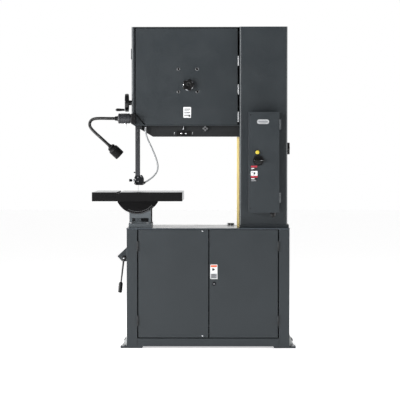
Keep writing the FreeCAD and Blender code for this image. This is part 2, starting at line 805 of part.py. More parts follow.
# ---------------------------------------------------------------- wheels and blade
def wheel(centre_z, hub_bore):
    """Cast wheel: rim, web with round lightening holes, hub."""
    at = (WHEEL_X, 0, centre_z)
    rim_r = WHEEL_R - TYRE_T
    y0 = BLADE_Y - WHEEL_W / 2
    y1 = BLADE_Y + WHEEL_W / 2
    web0 = BLADE_Y - WEB_T / 2
    web1 = BLADE_Y + WEB_T / 2
    profile = [
        (hub_bore, HUB_FRONT), (HUB_R, HUB_FRONT), (HUB_R + 6, web0), (rim_r - RIM_T - 6, web0),
        (rim_r - RIM_T, y0), (rim_r, y0), (rim_r, y1), (rim_r - RIM_T, y1),
        (rim_r - RIM_T - 6, web1), (HUB_R + 2, web1), (HUB_R, HUB_REAR), (hub_bore, HUB_REAR),
    ]
    body = turned("y", at, profile)
    for k in range(LIGHT_HOLES):
        angle = 2 * pi * k / LIGHT_HOLES
        x = WHEEL_X + LIGHT_HOLE_ORBIT * cos(angle)
        z = centre_z + LIGHT_HOLE_ORBIT * sin(angle)
        body = body.cut(rod("y", (x, 0, z), LIGHT_HOLE_R, web0 - 30, web1 + 30))
    return body


def tyre(centre_z):
    """Rubber tyre bonded round a wheel's rim."""
    at = (WHEEL_X, 0, centre_z)
    return ring("y", at, WHEEL_R, WHEEL_R - TYRE_T, BLADE_Y - WHEEL_W / 2, BLADE_Y + WHEEL_W / 2)


def saw_blade():
    """Endless blade round both wheels."""
    def loop(radius):
        """Race-track plate of a given end radius."""
        straight = box(WHEEL_X - radius, WHEEL_X + radius, BLADE_FRONT, BLADE_REAR, LOWER_WHEEL_Z, UPPER_WHEEL_Z)
        ends = [rod("y", (WHEEL_X, 0, z), radius, BLADE_FRONT, BLADE_REAR) for z in (LOWER_WHEEL_Z, UPPER_WHEEL_Z)]
        return joined(straight, *ends)
    return loop(BLADE_R + BLADE_T / 2).cut(loop(BLADE_R - BLADE_T / 2))


def slide_rails():
    """Two keeper rails and the thrust bracket of the tension screw, on the head's back plate."""
    y_front = BULKHEAD_Y - SLIDE_T - 2 * GAP
    pieces = []
    for side in (-1, 1):
        inner = WHEEL_X + side * SLIDE_HALF_W
        outer = inner + side * RAIL_W
        lip = inner - side * RAIL_LIP
        z0 = UPPER_WHEEL_Z - RAIL_HALF_H
        z1 = UPPER_WHEEL_Z + RAIL_HALF_H
        bar = box(min(inner, outer), max(inner, outer), y_front, BULKHEAD_Y, z0, z1)
        keeper = box(min(lip, outer), max(lip, outer), y_front - 6, y_front, z0, z1)
        pieces.append(joined(bar, keeper))
    z0 = UPPER_WHEEL_Z - RAIL_HALF_H - THRUST_DROP
    bracket = box(WHEEL_X - 30, WHEEL_X + 30, y_front, BULKHEAD_Y, z0, z0 + THRUST_T)
    bracket = bracket.cut(rod("z", (WHEEL_X, 0, 0), TENSION_SCREW_R + RUN, z0 - 1, z0 + THRUST_T + 1))
    return group(*pieces, bracket)


def upper_wheel_slide():
    """Sliding block with the upper wheel's spindle and its retaining nut."""
    half = SLIDE_HALF_W - GAP
    y1 = BULKHEAD_Y - GAP
    y0 = y1 - SLIDE_T
    block = box(WHEEL_X - half, WHEEL_X + half, y0, y1, UPPER_WHEEL_Z - SLIDE_HALF_H, UPPER_WHEEL_Z + SLIDE_HALF_H)
    well_top = UPPER_WHEEL_Z - SPINDLE_R - 6
    well = rod("z", (WHEEL_X, 0, 0), TENSION_SCREW_R + RUN, UPPER_WHEEL_Z - SLIDE_HALF_H - 1, well_top)
    at = (WHEEL_X, 0, UPPER_WHEEL_Z)
    spindle = turned("y", at, [
        (0, HUB_FRONT - 18), (22, HUB_FRONT - 18), (22, HUB_FRONT - 0.6), (SPINDLE_R, HUB_FRONT - 0.6),
        (SPINDLE_R, HUB_REAR + 0.6), (24, HUB_REAR + 0.6), (28, y0 + 1), (0, y0 + 1),
    ])
    return joined(block.cut(well), spindle)


def tension_screw():
    """Screw that raises the upper wheel: hexagon head and collar under the thrust bracket."""
    bracket_z0 = UPPER_WHEEL_Z - RAIL_HALF_H - THRUST_DROP
    bracket_z1 = bracket_z0 + THRUST_T
    at = (WHEEL_X, 0, 0)
    top = UPPER_WHEEL_Z - SLIDE_HALF_H + 38
    shank = rod("z", at, TENSION_SCREW_R, bracket_z0 - 14, top)
    collar = rod("z", at, TENSION_COLLAR_R, bracket_z0 - 10, bracket_z0 - GAP)
    upper_collar = rod("z", at, TENSION_COLLAR_R, bracket_z1 + GAP, bracket_z1 + 8)
    head = hexagon((WHEEL_X, 0), 30, bracket_z0 - 30, bracket_z0 - 10)
    return joined(shank, collar, upper_collar, head)


# ---------------------------------------------------------------- column and head
def column():
    """Box column with rounded upright edges, welded to its base flange."""
    outer = box(COLUMN_X0, COLUMN_X1, COLUMN_Y0, COLUMN_Y1, CAB_H, OVERALL_H)
    upright = [e for e in outer.Edges if abs(e.BoundBox.ZLength - (OVERALL_H - CAB_H)) < 1]
    outer = outer.makeFillet(COLUMN_EDGE_R, upright)
    w = COLUMN_WALL
    inner = box(COLUMN_X0 + w, COLUMN_X1 - w, COLUMN_Y0 + w, COLUMN_Y1 - w, CAB_H - 1, OVERALL_H - w)
    flange = box(COLUMN_X0, COLUMN_X1 + FLANGE_OUT, COLUMN_Y0 - FLANGE_OUT, COLUMN_Y1 + FLANGE_OUT,
                 CAB_H, CAB_H + FLANGE_T)
    body = joined(outer, flange).cut(inner)
    hole = rod("x", (0, SIDE_KNOB_Y, SIDE_KNOB_Z), SIDE_SHAFT_R + RUN, COLUMN_X1 - w - 1, COLUMN_X1 + 1)
    return body.cut(hole)


def head_outline(inset):
    """Head's outline in X and Z, moved in by inset, open at the column's side."""
    x0 = HEAD_X0 + inset
    bottom = HEAD_BOTTOM + inset
    run = SLOPE_BOTTOM_X - HEAD_X0
    fall = SLOPE_SIDE_Z - HEAD_BOTTOM
    length = (run ** 2 + fall ** 2) ** 0.5
    side_z = SLOPE_SIDE_Z + inset * (length - fall) / run
    bottom_x = SLOPE_BOTTOM_X + inset * (length - run) / fall
    return [(x0, OVERALL_H - inset), (x0, side_z), (bottom_x, bottom), (COLUMN_X0, bottom),
            (COLUMN_X0, OVERALL_H - inset)]


def slope_x(z, inset=0.0):
    """X of the head's sloping corner at a height."""
    _, (x0, z0), (x1, z1), _, _ = head_outline(inset)
    return x0 + (z0 - z) * (x1 - x0) / (z0 - z1)


def slope_z(x):
    """Height of the head's sloping corner at a place along X."""
    return SLOPE_SIDE_Z - (x - HEAD_X0) * (SLOPE_SIDE_Z - HEAD_BOTTOM) / (SLOPE_BOTTOM_X - HEAD_X0)


def head_shell():
    """Welded head: back plate, rim all round, sill over the set-back strip, face plate left of the door."""
    w = HEAD_WALL
    rim = plate_xz(head_outline(0.0), RECESS_Y, BULKHEAD_Y).cut(
        plate_xz(head_outline(w), RECESS_Y - 1, BULKHEAD_Y + 1))
    back = plate_xz(head_outline(0.0), BULKHEAD_Y, HEAD_BACK_Y)
    hood_outline = [(HEAD_X0, OVERALL_H), (HEAD_X0, SLOPE_SIDE_Z), (slope_x(STEP_Z), STEP_Z),
                    (COLUMN_X0, STEP_Z), (COLUMN_X0, OVERALL_H)]
    hollow_outline = [(HEAD_X0 + w, OVERALL_H - w), (HEAD_X0 + w, STEP_Z + w + 5), (HEAD_X0 + w + 8, STEP_Z + w),
                      (COLUMN_X0, STEP_Z + w), (COLUMN_X0, OVERALL_H - w)]
    hood = plate_xz(hood_outline, HEAD_Y0, RECESS_Y).cut(plate_xz(hollow_outline, HEAD_Y0 - 1, RECESS_Y + 1))
    face_x = HEAD_DOOR_X0 - DOOR_GAP
    cut_z = HEAD_DOOR_CUT_Z - 1.0
    face = plate_xz([
        (HEAD_X0, OVERALL_H - w), (HEAD_X0, SLOPE_SIDE_Z), (slope_x(STEP_Z), STEP_Z),
        (HEAD_DOOR_CUT_X - DOOR_GAP - 1, STEP_Z), (HEAD_DOOR_CUT_X - DOOR_GAP - 1, STEP_Z + w),
        (face_x, cut_z), (face_x, OVERALL_H - w),
    ], HEAD_Y0, HEAD_Y0 + 4)
    shell = joined(rim, back, hood, face)
    mouth_y0 = HOUSING_Y0 - 1
    mouth = box(HOUSING_X0 - 1.0, HOUSING_X1 + GAP, mouth_y0, HOUSING_Y1 + GAP, HEAD_BOTTOM, STEP_Z + 16)
    blade_way = box(BLADE_X - BLADE_WAY, BLADE_X + BLADE_WAY, HOUSING_Y1 - 1, BLADE_REAR + 8, HEAD_BOTTOM, STEP_Z + 16)
    return_way = box(RETURN_X - 9, COLUMN_X0 + 1, BLADE_FRONT - 10, BLADE_REAR + 10, HEAD_BOTTOM - 1,
                     HEAD_BOTTOM + w + 1)
    shaft_way = rod("x", (0, PINION_Y, PINION_Z), PINION_SHAFT_R + 1, HEAD_X0 - 1, HEAD_X0 + w + 1)
    return shell.cut(mouth).cut(blade_way).cut(return_way).cut(shaft_way)


def valve_panel():
    """Set-back panel under the head door, with holes for its push buttons and the valve's shaft."""
    x0 = HOUSING_X1 + 4
    outline = [(x0, STEP_Z), (x0, slope_z(x0)), (SLOPE_BOTTOM_X, HEAD_BOTTOM),
               (COLUMN_X0, HEAD_BOTTOM), (COLUMN_X0, STEP_Z)]
    panel = plate_xz(outline, PANEL_FRONT, RECESS_Y)
    for x in PUSH_XS.values():
        panel = panel.cut(rod("y", (x, 0, PUSH_Z), PUSH_STEM_R + RUN, PANEL_FRONT - 1, RECESS_Y + 1))
    return panel.cut(rod("y", (VALVE_X, 0, VALVE_Z), VALVE_SHAFT_R + RUN, PANEL_FRONT - 1, RECESS_Y + 1))


def head_door_outline():
    """Head door's outline with its lower left corner cut off."""
    return [(HEAD_DOOR_X0, HEAD_DOOR_Z1), (HEAD_DOOR_X0, HEAD_DOOR_CUT_Z), (HEAD_DOOR_CUT_X, HEAD_DOOR_Z0 + 1),
            (HEAD_DOOR_X1, HEAD_DOOR_Z0 + 1), (HEAD_DOOR_X1, HEAD_DOOR_Z1)]


def head_door_hinges():
    """Halves of the three hinges at the head door's right edge."""
    x = HEAD_DOOR_X1 + 6.5
    y = HEAD_DOOR_Y - HINGE_STAND
    frame_leaf = (x, COLUMN_X0, y - HINGE_LEAF / 2, y + HINGE_LEAF / 2)
    door_leaf = (HEAD_DOOR_X1, HEAD_DOOR_X1 + HINGE_LEAF, y, HEAD_DOOR_Y + HEAD_DOOR_DEPTH - 1)
    return [hinge(x, y, z, frame_leaf, door_leaf) for z in HEAD_HINGES_Z]


def head_door():
    """Head door: a shallow pan on three hinges, drilled for its clamp knob."""
    door = pan(head_door_outline(), HEAD_DOOR_Y, HEAD_DOOR_DEPTH, DOOR_SKIN, DOOR_SKIN)
    halves = [upper for _, upper in head_door_hinges()]
    links = []
    for z in HEAD_HINGES_Z:
        y = HEAD_DOOR_Y - HINGE_STAND
        links.append(box(HEAD_DOOR_X1, HEAD_DOOR_X1 + 4, y - 1, y + 1, z, z + HINGE_H / 2))
    door = joined(door, *halves, *links)
    hole = rod("y", (CLAMP_KNOB_X, 0, CLAMP_KNOB_Z), CLAMP_STUD_R + RUN, HEAD_DOOR_Y - 1, HEAD_DOOR_Y + 5)
    return door.cut(hole)


def head_knob():
    """Lobed knob that clamps the head door."""
    at = (CLAMP_KNOB_X, 0, CLAMP_KNOB_Z)
    y1 = HEAD_DOOR_Y - GAP
    knob = lobed("y", at, CLAMP_KNOB_R, 5, y1 - CLAMP_KNOB_L, y1 - 10)
    boss = rod("y", at, CLAMP_BOSS_R, y1 - 10, y1)
    return joined(knob, boss, rod("y", at, CLAMP_STUD_R, y1, HEAD_DOOR_Y + 12))


# ---------------------------------------------------------------- cabinet doors and hinges
def cabinet_hinges(side):
    """Halves of the two hinges of one cabinet door; side is -1 on the left, 1 on the right."""
    post_x = side * (SIDE_X - POST_W)
    door_x = side * (SIDE_X - POST_W - DOOR_GAP)
    x = (post_x + door_x) / 2
    y = FRONT_Y - HINGE_STAND
    frame_leaf = (*sorted((post_x, post_x - side * HINGE_LEAF)), y, FRONT_Y + 14)
    door_leaf = (*sorted((door_x, door_x + side * HINGE_LEAF)), y, FRONT_Y + 14)
    return [hinge(x, y, z, frame_leaf, door_leaf) for z in cabinet_hinge_zs()]


def cabinet_hinge_zs():
    """Heights of the cabinet's door hinges."""
    return (door_bottom() + 112.0, PLATE_UNDER - 112.0)


def door_bottom():
    """Lower edge of the cabinet's doors."""
    return RAIL_TOP + DOOR_BOTTOM_GAP


def cabinet_door(x0, x1, side):
    """One cabinet door pan with its hinge halves."""
    z1 = PLATE_UNDER - DOOR_TOP_GAP
    outline = [(x0, door_bottom()), (x0, z1), (x1, z1), (x1, door_bottom())]
    door = pan(outline, FRONT_Y, DOOR_DEPTH, DOOR_SKIN, DOOR_SKIN)
    return joined(door, *[upper for _, upper in cabinet_hinges(side)])


def left_door():
    """Left cabinet door."""
    return cabinet_door(-(SIDE_X - POST_W - DOOR_GAP), DOOR_SPLIT_X - DOOR_SPLIT_GAP / 2, -1)


def right_door():
    """Right cabinet door, bored for its lock."""
    door = cabinet_door(DOOR_SPLIT_X + DOOR_SPLIT_GAP / 2, SIDE_X - POST_W - DOOR_GAP, 1)
    return door.cut(rod("y", (LOCK_X, 0, LOCK_Z), LOCK_STEM_R + RUN, FRONT_Y - 1, FRONT_Y + 4))


def door_lock():
    """Quarter-turn lock with a tongue that reaches behind the left door."""
    at = (LOCK_X, 0, LOCK_Z)
    back = FRONT_Y + DOOR_DEPTH + 2
    head = rod("y", at, LOCK_R, FRONT_Y - 3 - GAP, FRONT_Y - GAP)
    stem = rod("y", at, LOCK_STEM_R, FRONT_Y - GAP, back + 4)
    tongue = box(DOOR_SPLIT_X - 15, LOCK_X, back, back + 4, LOCK_Z - 7, LOCK_Z + 7)
    slot = box(LOCK_X - 6, LOCK_X + 6, FRONT_Y - 4, FRONT_Y - 1.8, LOCK_Z - 1, LOCK_Z + 1)
    return joined(head, stem, tongue).cut(slot)


def guard_hinges():
    """Halves of the two hinges of the return guard."""
    x = GUARD_HINGE_X
    y = GUARD_HINGE_Y
    frame_leaf = (x, COLUMN_X0, y - HINGE_LEAF / 2, y + HINGE_LEAF / 2)
    door_leaf = (x - HINGE_LEAF / 2, x + HINGE_LEAF / 2, BLADE_Y + GUARD_WIDTH / 2, y)
    return [hinge(x, y, z, frame_leaf, door_leaf) for z in GUARD_HINGES_Z]


def box_door_hinges():
    """Halves of the two hinges of the control box's door."""
    x = BOX_X1 + HINGE_R + GAP
    y = BOX_Y0
    frame_leaf = (BOX_X1, BOX_X1 + HINGE_LEAF, y + 1, y + 32)
    door_leaf = (BOX_X1 - 0.5, x, y, y + 3)
    return [hinge(x, y, z, frame_leaf, door_leaf) for z in BOX_HINGES_Z]


def door_hardware():
    """Frame halves of every hinge, and the head's side latch plate."""
    halves = head_door_hinges() + cabinet_hinges(-1) + cabinet_hinges(1) + guard_hinges() + box_door_hinges()
    lower = [frame_half for frame_half, _ in halves]
    latch = box(HEAD_X0 - 4, HEAD_X0, HEAD_Y0 + 10, HEAD_Y0 + 58, LATCH_Z0, LATCH_Z1)
    return group(*lower, latch)


def return_guard():
    """Hinged channel round the blade's return run."""
    y0 = BLADE_Y - GUARD_WIDTH / 2
    y1 = BLADE_Y + GUARD_WIDTH / 2
    z0 = CAB_H + GUARD_END_GAP
    z1 = HEAD_BOTTOM - GUARD_END_GAP
    channel = box(GUARD_X0, COLUMN_X0 - GAP, y0, y1, z0, z1).cut(
        box(GUARD_X0 + GUARD_WALL, COLUMN_X0 + 1, y0 + GUARD_WALL, y1 - GUARD_WALL, z0 - 1, z1 + 1))
    return joined(channel, *[upper for _, upper in guard_hinges()])


# ---------------------------------------------------------------- guide post, guide and handwheel
def post_housing():
    """Bracket on the head's side that guides the post and carries the pinion's shaft; cut off along the slope."""
    body = plate_xz([(HOUSING_X0, HOUSING_Z1), (HOUSING_X0, slope_z(HOUSING_X0)), (HOUSING_X1, slope_z(HOUSING_X1)),
                     (HOUSING_X1, HOUSING_Z1)], HOUSING_Y0, HOUSING_Y1)
    z0 = slope_z(HOUSING_X1) - 1
    way = box(POST_X0 - GAP, POST_X1 + GAP, POST_FRONT - GAP, POST_REAR + GAP, z0, HOUSING_Z1 + 1)
    rack_half = RACK_W / 2 + 1
    rack_way = box(POST_MID_X - rack_half, POST_MID_X + rack_half, RACK_PITCH_Y - 3, POST_FRONT,
                   z0, HOUSING_Z1 + 1)
    reach = (PINION_TEETH / 2 + 1) * RACK_MODULE + 1.5
    pocket = rod("x", (0, PINION_Y, PINION_Z), reach, POST_MID_X - 9, POST_MID_X + 9)
    bore = rod("x", (0, PINION_Y, PINION_Z), PINION_SHAFT_R + RUN, HOUSING_X0 - 1, HOUSING_X1 + 1)
    return body.cut(way).cut(rack_way).cut(pocket).cut(bore)


def guide_post():
    """Square post with the rack on its front face and the small screw near its foot."""
    post = box(POST_X0, POST_X1, POST_FRONT, POST_REAR, POST_BOTTOM, POST_TOP)
    pitch = pi * RACK_MODULE
    tip = RACK_PITCH_Y - RACK_MODULE
    root = RACK_PITCH_Y + RACK_DEDENDUM
    half = pitch / 4 - 0.15
    tip_half = half - RACK_MODULE * tan(RACK_FLANK)
    root_half = half + RACK_DEDENDUM * tan(RACK_FLANK)
    outline = []
    for k in range(-int((POST_TRAVEL + 20) / pitch), 5):
        z = PINION_Z + (k + 0.5) * pitch
        outline += [(root, z - root_half), (tip, z - tip_half), (tip, z + tip_half), (root, z + root_half)]
    outline = [(POST_FRONT, outline[0][1])] + outline + [(POST_FRONT, outline[-1][1])]
    rack = plate_yz(outline, POST_MID_X - RACK_W / 2, POST_MID_X + RACK_W / 2)
    screw_at = (0, (POST_FRONT + POST_REAR) / 2, POST_SCREW_Z)
    screw = rod("x", screw_at, POST_SCREW_R, POST_X0 - 4, POST_X0)
    screw_head = rod("x", screw_at, POST_SCREW_R + 2, POST_X0 - 11, POST_X0 - 4)
    return joined(post, rack, screw, screw_head)


def nozzle():
    """Air nozzle's body, in line with the hose's end."""
    end = Vector(*HOSE_ROUTE[-1])
    heading = end - Vector(*HOSE_ROUTE[-2])
    return Part.makeCylinder(NOZZLE_R, NOZZLE_L, end, heading)


def guide_block():
    """Guide body under the post: front block, two arms beside the blade, backup pin; and the air nozzle."""
    left = POST_X0
    right = POST_X1
    outline = [
        (left - 1, POST_BOTTOM), (left - 9, 1129), (left + 2, 1125), (left + 2, 1106), (left - 8, 1100),
        (left - 4, 1089), (left + 7, GUIDE_BOTTOM), (right + 15, GUIDE_BOTTOM), (right + 25, 1095),
        (right + 25, 1129), (right + 17, 1145), (right + 9, 1153), (right + 2, POST_BOTTOM),
    ]
    block = plate_xz(outline, POST_FRONT + 2, POST_FRONT + 2 + GUIDE_DEPTH)
    arm_y0 = POST_FRONT + 2 + GUIDE_DEPTH
    arms = [
        box(BLADE_X - 24, BLADE_X - GUIDE_SLOT, arm_y0, ARM_REAR, ARM_Z0, ARM_Z1),
        box(BLADE_X + GUIDE_SLOT, BLADE_X + 24, arm_y0, ARM_REAR, ARM_Z0, ARM_Z1),
    ]
    pin = rod("x", (0, backup_y(), backup_z()), BACKUP_PIN_R, BLADE_X - 23, BLADE_X + 23)
    block = joined(block, *arms, pin)
    screw_hole = rod("x", (0, THUMB_Y, THUMB_Z), THUMB_SHANK_R + RUN, POST_X0, POST_X0 + 15)
    return group(block.cut(nozzle()).cut(screw_hole), nozzle())


def backup_y():
    """Y of the backup bearing's pin: its rim runs just behind the blade."""
    return BLADE_REAR + GAP + BACKUP_R


def backup_z():
    """Height of the backup bearing's pin."""
    return (ARM_Z0 + ARM_Z1) / 2


def backup_bearing():
    """Roller that takes the blade's thrust."""
    half = GUIDE_SLOT - 0.4
    return ring("x", (0, backup_y(), backup_z()), BACKUP_R, BACKUP_PIN_R + RUN, BLADE_X - half, BLADE_X + half)


def guide_inserts():
    """Two carbide pads, one each side of the blade."""
    near = BLADE_T / 2 + INSERT_GAP
    z0 = ARM_Z0 + 4
    z1 = ARM_Z1 - 4
    return group(
        box(BLADE_X - GUIDE_SLOT, BLADE_X - near, BLADE_FRONT + 2, BLADE_REAR - 4, z0, z1),
        box(BLADE_X + near, BLADE_X + GUIDE_SLOT, BLADE_FRONT + 2, BLADE_REAR - 4, z0, z1),
    )


def thumbscrew():
    """Knurled screw that locks the guide."""
    at = (0, THUMB_Y, THUMB_Z)
    corners = []
    for k in range(2 * THUMB_RIDGES):
        radius = THUMB_R if k % 2 == 0 else THUMB_R - 0.7
        angle = pi * k / THUMB_RIDGES
        corners.append((THUMB_Y + radius * cos(angle), THUMB_Z + radius * sin(angle)))
    knob = plate_yz(corners, POST_X0 - 43, POST_X0 - 24)
    return joined(knob, rod("x", at, THUMB_SHANK_R, POST_X0 - 24, POST_X0 + 14))


def handwheel():
    """Spoked handwheel with its shaft, pinion and the crank's pin."""
    at = (0, PINION_Y, PINION_Z)
    boss_x0 = HEAD_X0 - HANDWHEEL_BOSS
    rim_x0 = boss_x0 - HANDWHEEL_RIM
    rim = turned("x", at, [
        (HANDWHEEL_R - 12, rim_x0 + 4), (HANDWHEEL_R - 4, rim_x0), (HANDWHEEL_R, rim_x0 + 6),
        (HANDWHEEL_R, boss_x0 - 6), (HANDWHEEL_R - 4, boss_x0), (HANDWHEEL_R - 12, boss_x0 - 4),
    ])
    hub = rod("x", at, HANDWHEEL_HUB_R, rim_x0 + 2, HEAD_X0 - GAP)
    web = ring("x", at, HANDWHEEL_R - 10, 15, rim_x0 + 9, rim_x0 + 16)
    for k in range(HANDWHEEL_HOLES):
        angle = 2 * pi * (k + 0.25) / HANDWHEEL_HOLES
        y = PINION_Y + HANDWHEEL_HOLE_ORBIT * cos(angle)
        z = PINION_Z + HANDWHEEL_HOLE_ORBIT * sin(angle)
        web = web.cut(rod("x", (0, y, z), HANDWHEEL_HOLE_R, rim_x0, boss_x0))
    shaft = rod("x", at, PINION_SHAFT_R, HEAD_X0 - 1, HOUSING_X1 + 4)
    root_r = (PINION_TEETH / 2 - 1.25) * RACK_MODULE
    tip_r = (PINION_TEETH / 2 + 1) * RACK_MODULE
    corners = []
    for k in range(PINION_TEETH):
        angle = 2 * pi * k / PINION_TEETH
        for radius, half in ((root_r, -1.15), (tip_r, -0.45), (tip_r, 0.45), (root_r, 1.15)):
            turn = angle + half / radius
            corners.append((PINION_Y + radius * cos(turn), PINION_Z + radius * sin(turn)))
    pinion = plate_yz(corners, POST_MID_X - 7, POST_MID_X + 7)
    neck = ring("x", at, PINION_SHAFT_R + 1, root_r - 0.5, POST_MID_X - 9.5, POST_MID_X + 9.5)
    crank_at = (0, PINION_Y, PINION_Z - CRANK_R)
    crank = turned("x", crank_at, [
        (0, rim_x0 - CRANK_GRIP_L - 10), (6.5, rim_x0 - CRANK_GRIP_L - 10), (6.5, rim_x0 - CRANK_GRIP_L - 6 - GAP),
        (CRANK_PIN_R, rim_x0 - CRANK_GRIP_L - 6 - GAP), (CRANK_PIN_R, rim_x0 - 6 + GAP), (7, rim_x0 - 6 + GAP),
        (7, rim_x0 + 10), (0, rim_x0 + 10),
    ])
    return joined(rim, hub, web, shaft.cut(neck), pinion, crank)


def crank_grip():
    """Turning grip on the handwheel's crank pin."""
    rim_x0 = HEAD_X0 - HANDWHEEL_BOSS - HANDWHEEL_RIM
    x1 = rim_x0 - 6
    x0 = x1 - CRANK_GRIP_L
    bore = CRANK_PIN_R + RUN
    profile = [(bore, x0), (CRANK_GRIP_R - 3, x0), (CRANK_GRIP_R, x0 + 10), (CRANK_GRIP_R - 1, x0 + 28),
               (CRANK_GRIP_R - 3, x1), (bore, x1)]
    return turned("x", (0, PINION_Y, PINION_Z - CRANK_R), profile)


# ---------------------------------------------------------------- table
def table_top():
    """Cast table: plate, deep edges, pads over the trunnions, T-slot, blade hole and blade-change slot."""
    x1 = TABLE_X0 + TABLE_W
    y1 = TABLE_Y0 + TABLE_D
    body = box(TABLE_X0, x1, TABLE_Y0, y1, TABLE_UNDER, TABLE_TOP)
    e = TABLE_PLATE
    body = body.cut(box(TABLE_X0 + e, x1 - e, TABLE_Y0 + e, y1 - e, TABLE_UNDER - 1, TABLE_TOP - TABLE_PLATE))
    pads = []
    for y in (TRUNNION_FRONT_Y, TRUNNION_REAR_Y):
        pads.append(box(BLADE_X - TRUNNION_HALF_W, BLADE_X + TRUNNION_HALF_W, y - PAD_MARGIN,
                        y + TRUNNION_T + PAD_MARGIN, TABLE_UNDER, TABLE_TOP - TABLE_PLATE))
    body = joined(body, *pads)
    slot_x = BLADE_X - TSLOT_FROM_BLADE
    body = body.cut(box(slot_x - TSLOT_W / 2, slot_x + TSLOT_W / 2, TABLE_Y0 - 1, y1 + 1,
                        TABLE_TOP - TSLOT_DEPTH, TABLE_TOP + 1))
    at = (BLADE_X, BLADE_Y, 0)
    body = body.cut(rod("z", at, TABLE_HOLE_R, TABLE_UNDER - 1, TABLE_TOP + 1))
    body = body.cut(rod("z", at, INSERT_R + GAP, TABLE_TOP - INSERT_T, TABLE_TOP + 1))
    half = BLADE_SLOT_W / 2
    return body.cut(box(TABLE_X0 - 1, BLADE_X, BLADE_Y - half, BLADE_Y + half, TABLE_UNDER - 1, TABLE_TOP + 1))


def table_insert():
    """Round insert with the blade's opening."""
    disc = rod("z", (BLADE_X, BLADE_Y, 0), INSERT_R, TABLE_TOP - INSERT_T, TABLE_TOP)
    return disc.cut(box(BLADE_X - 7, BLADE_X + 7, BLADE_FRONT - 4, BLADE_REAR + 4, TABLE_TOP - INSERT_T - 1,
                        TABLE_TOP + 1))


def trunnion_segments():
    """Two circular segments bolted under the table."""
    segments = []
    for y in (TRUNNION_FRONT_Y, TRUNNION_REAR_Y):
        disc = rod("y", (BLADE_X, 0, TABLE_TOP), TRUNNION_R, y, y + TRUNNION_T)
        below = box(BLADE_X - TRUNNION_HALF_W, BLADE_X + TRUNNION_HALF_W, y - 1, y + TRUNNION_T + 1,
                    TABLE_TOP - TRUNNION_R - 1, TABLE_UNDER)
        segments.append(disc.common(below))
    return group(*segments)


def trunnion_base():
    """Base casting: foot with the blade's opening, a windowed front wall and a rear wall, both with round saddles."""
    y0 = TRUNNION_FRONT_Y
    y1 = TRUNNION_REAR_Y + TRUNNION_T
    foot_z = CAB_H + BASE_FOOT
    foot = box(BASE_X0 - 4, BASE_X1 + 4, y0 - 26, y1 + 26, CAB_H, foot_z)
    foot = foot.cut(box(BLADE_X - BLADE_WAY, BLADE_X + BLADE_WAY, BLADE_FRONT - 4, BLADE_REAR + 4,
                        CAB_H - 1, foot_z + 1))
    walls = []
    saddle = rod("y", (BLADE_X, 0, TABLE_TOP), TRUNNION_R + GAP, y0 - 1, y1 + 1)
    for y in (TRUNNION_FRONT_Y, TRUNNION_REAR_Y):
        wall = box(BASE_X0, BASE_X1, y, y + TRUNNION_T, foot_z, SADDLE_TOP)
        walls.append(wall.cut(saddle))
    window = box(WINDOW_X0, WINDOW_X1, y0 - 1, y0 + TRUNNION_T + 1, WINDOW_Z0, WINDOW_Z1)
    walls[0] = walls[0].cut(window)
    base = joined(foot, *walls)
    for x in base_bolt_xs():
        for y in base_bolt_ys():
            base = base.cut(rod("z", (x, y, 0), BOLT_R, CAB_H - 1, foot_z + 1))
    return base


def lower_guide():
    """Fixed guide under the table, slotted for the blade."""
    z0 = CAB_H + BASE_FOOT
    body = joined(
        box(BLADE_X - 26, BLADE_X + 26, BLADE_FRONT - 8, BLADE_REAR + 26, z0, z0 + LOWER_GUIDE_FOOT),
        box(BLADE_X - 18, BLADE_X + 18, BLADE_FRONT - 2, BLADE_REAR + 22, z0 + LOWER_GUIDE_FOOT, z0 + LOWER_GUIDE_H),
    )
    half = BLADE_T / 2 + LOWER_GUIDE_SLOT
    slot = box(BLADE_X - half, BLADE_X + half, BLADE_FRONT - 9, BLADE_REAR + GAP, z0 - 1, z0 + LOWER_GUIDE_H + 1)
    return body.cut(slot)


# ---------------------------------------------------------------- control box
def electrical_box():
    """Control box on the column's front, open at its own front."""
    y0 = BOX_Y0 + BOX_DOOR_DEPTH + 0.5
    w = BOX_WALL
    body = box(BOX_X0, BOX_X1, y0, COLUMN_Y0, BOX_Z0, BOX_Z1)
    return body.cut(box(BOX_X0 + w, BOX_X1 - w, y0 - 1, COLUMN_Y0 - w, BOX_Z0 + w, BOX_Z1 - w))


def control_door():
    """Control box's door, bored for the switch and the button."""
    outline = [(BOX_X0, BOX_Z0), (BOX_X0, BOX_Z1), (BOX_X1 - 0.5, BOX_Z1), (BOX_X1 - 0.5, BOX_Z0)]
    door = pan(outline, BOX_Y0, BOX_DOOR_DEPTH, DOOR_SKIN, DOOR_SKIN)
    door = joined(door, *[upper for _, upper in box_door_hinges()])
    switch_hole = rod("y", (SWITCH_X, 0, SWITCH_Z), SWITCH_SHAFT_R + RUN, BOX_Y0 - 1, BOX_Y0 + 4)
    button_hole = rod("y", (BUTTON_X, 0, BUTTON_Z), BUTTON_STEM_R + RUN, BOX_Y0 - 1, BOX_Y0 + 4)
    return door.cut(switch_hole).cut(button_hole)


def disconnect_handle():
    """Rotary disconnect: disc with a bar grip."""
    at = (SWITCH_X, 0, SWITCH_Z)
    y1 = BOX_Y0 - GAP
    disc_y = y1 - SWITCH_DISC_T
    disc = rod("y", at, SWITCH_R, disc_y, y1)
    bar = box(SWITCH_X - SWITCH_BAR_L / 2, SWITCH_X + SWITCH_BAR_L / 2, disc_y - SWITCH_BAR_T, disc_y,
              SWITCH_Z - SWITCH_BAR_H / 2, SWITCH_Z + SWITCH_BAR_H / 2)
    return joined(disc, bar, rod("y", at, SWITCH_SHAFT_R, y1, BOX_Y0 + 20))


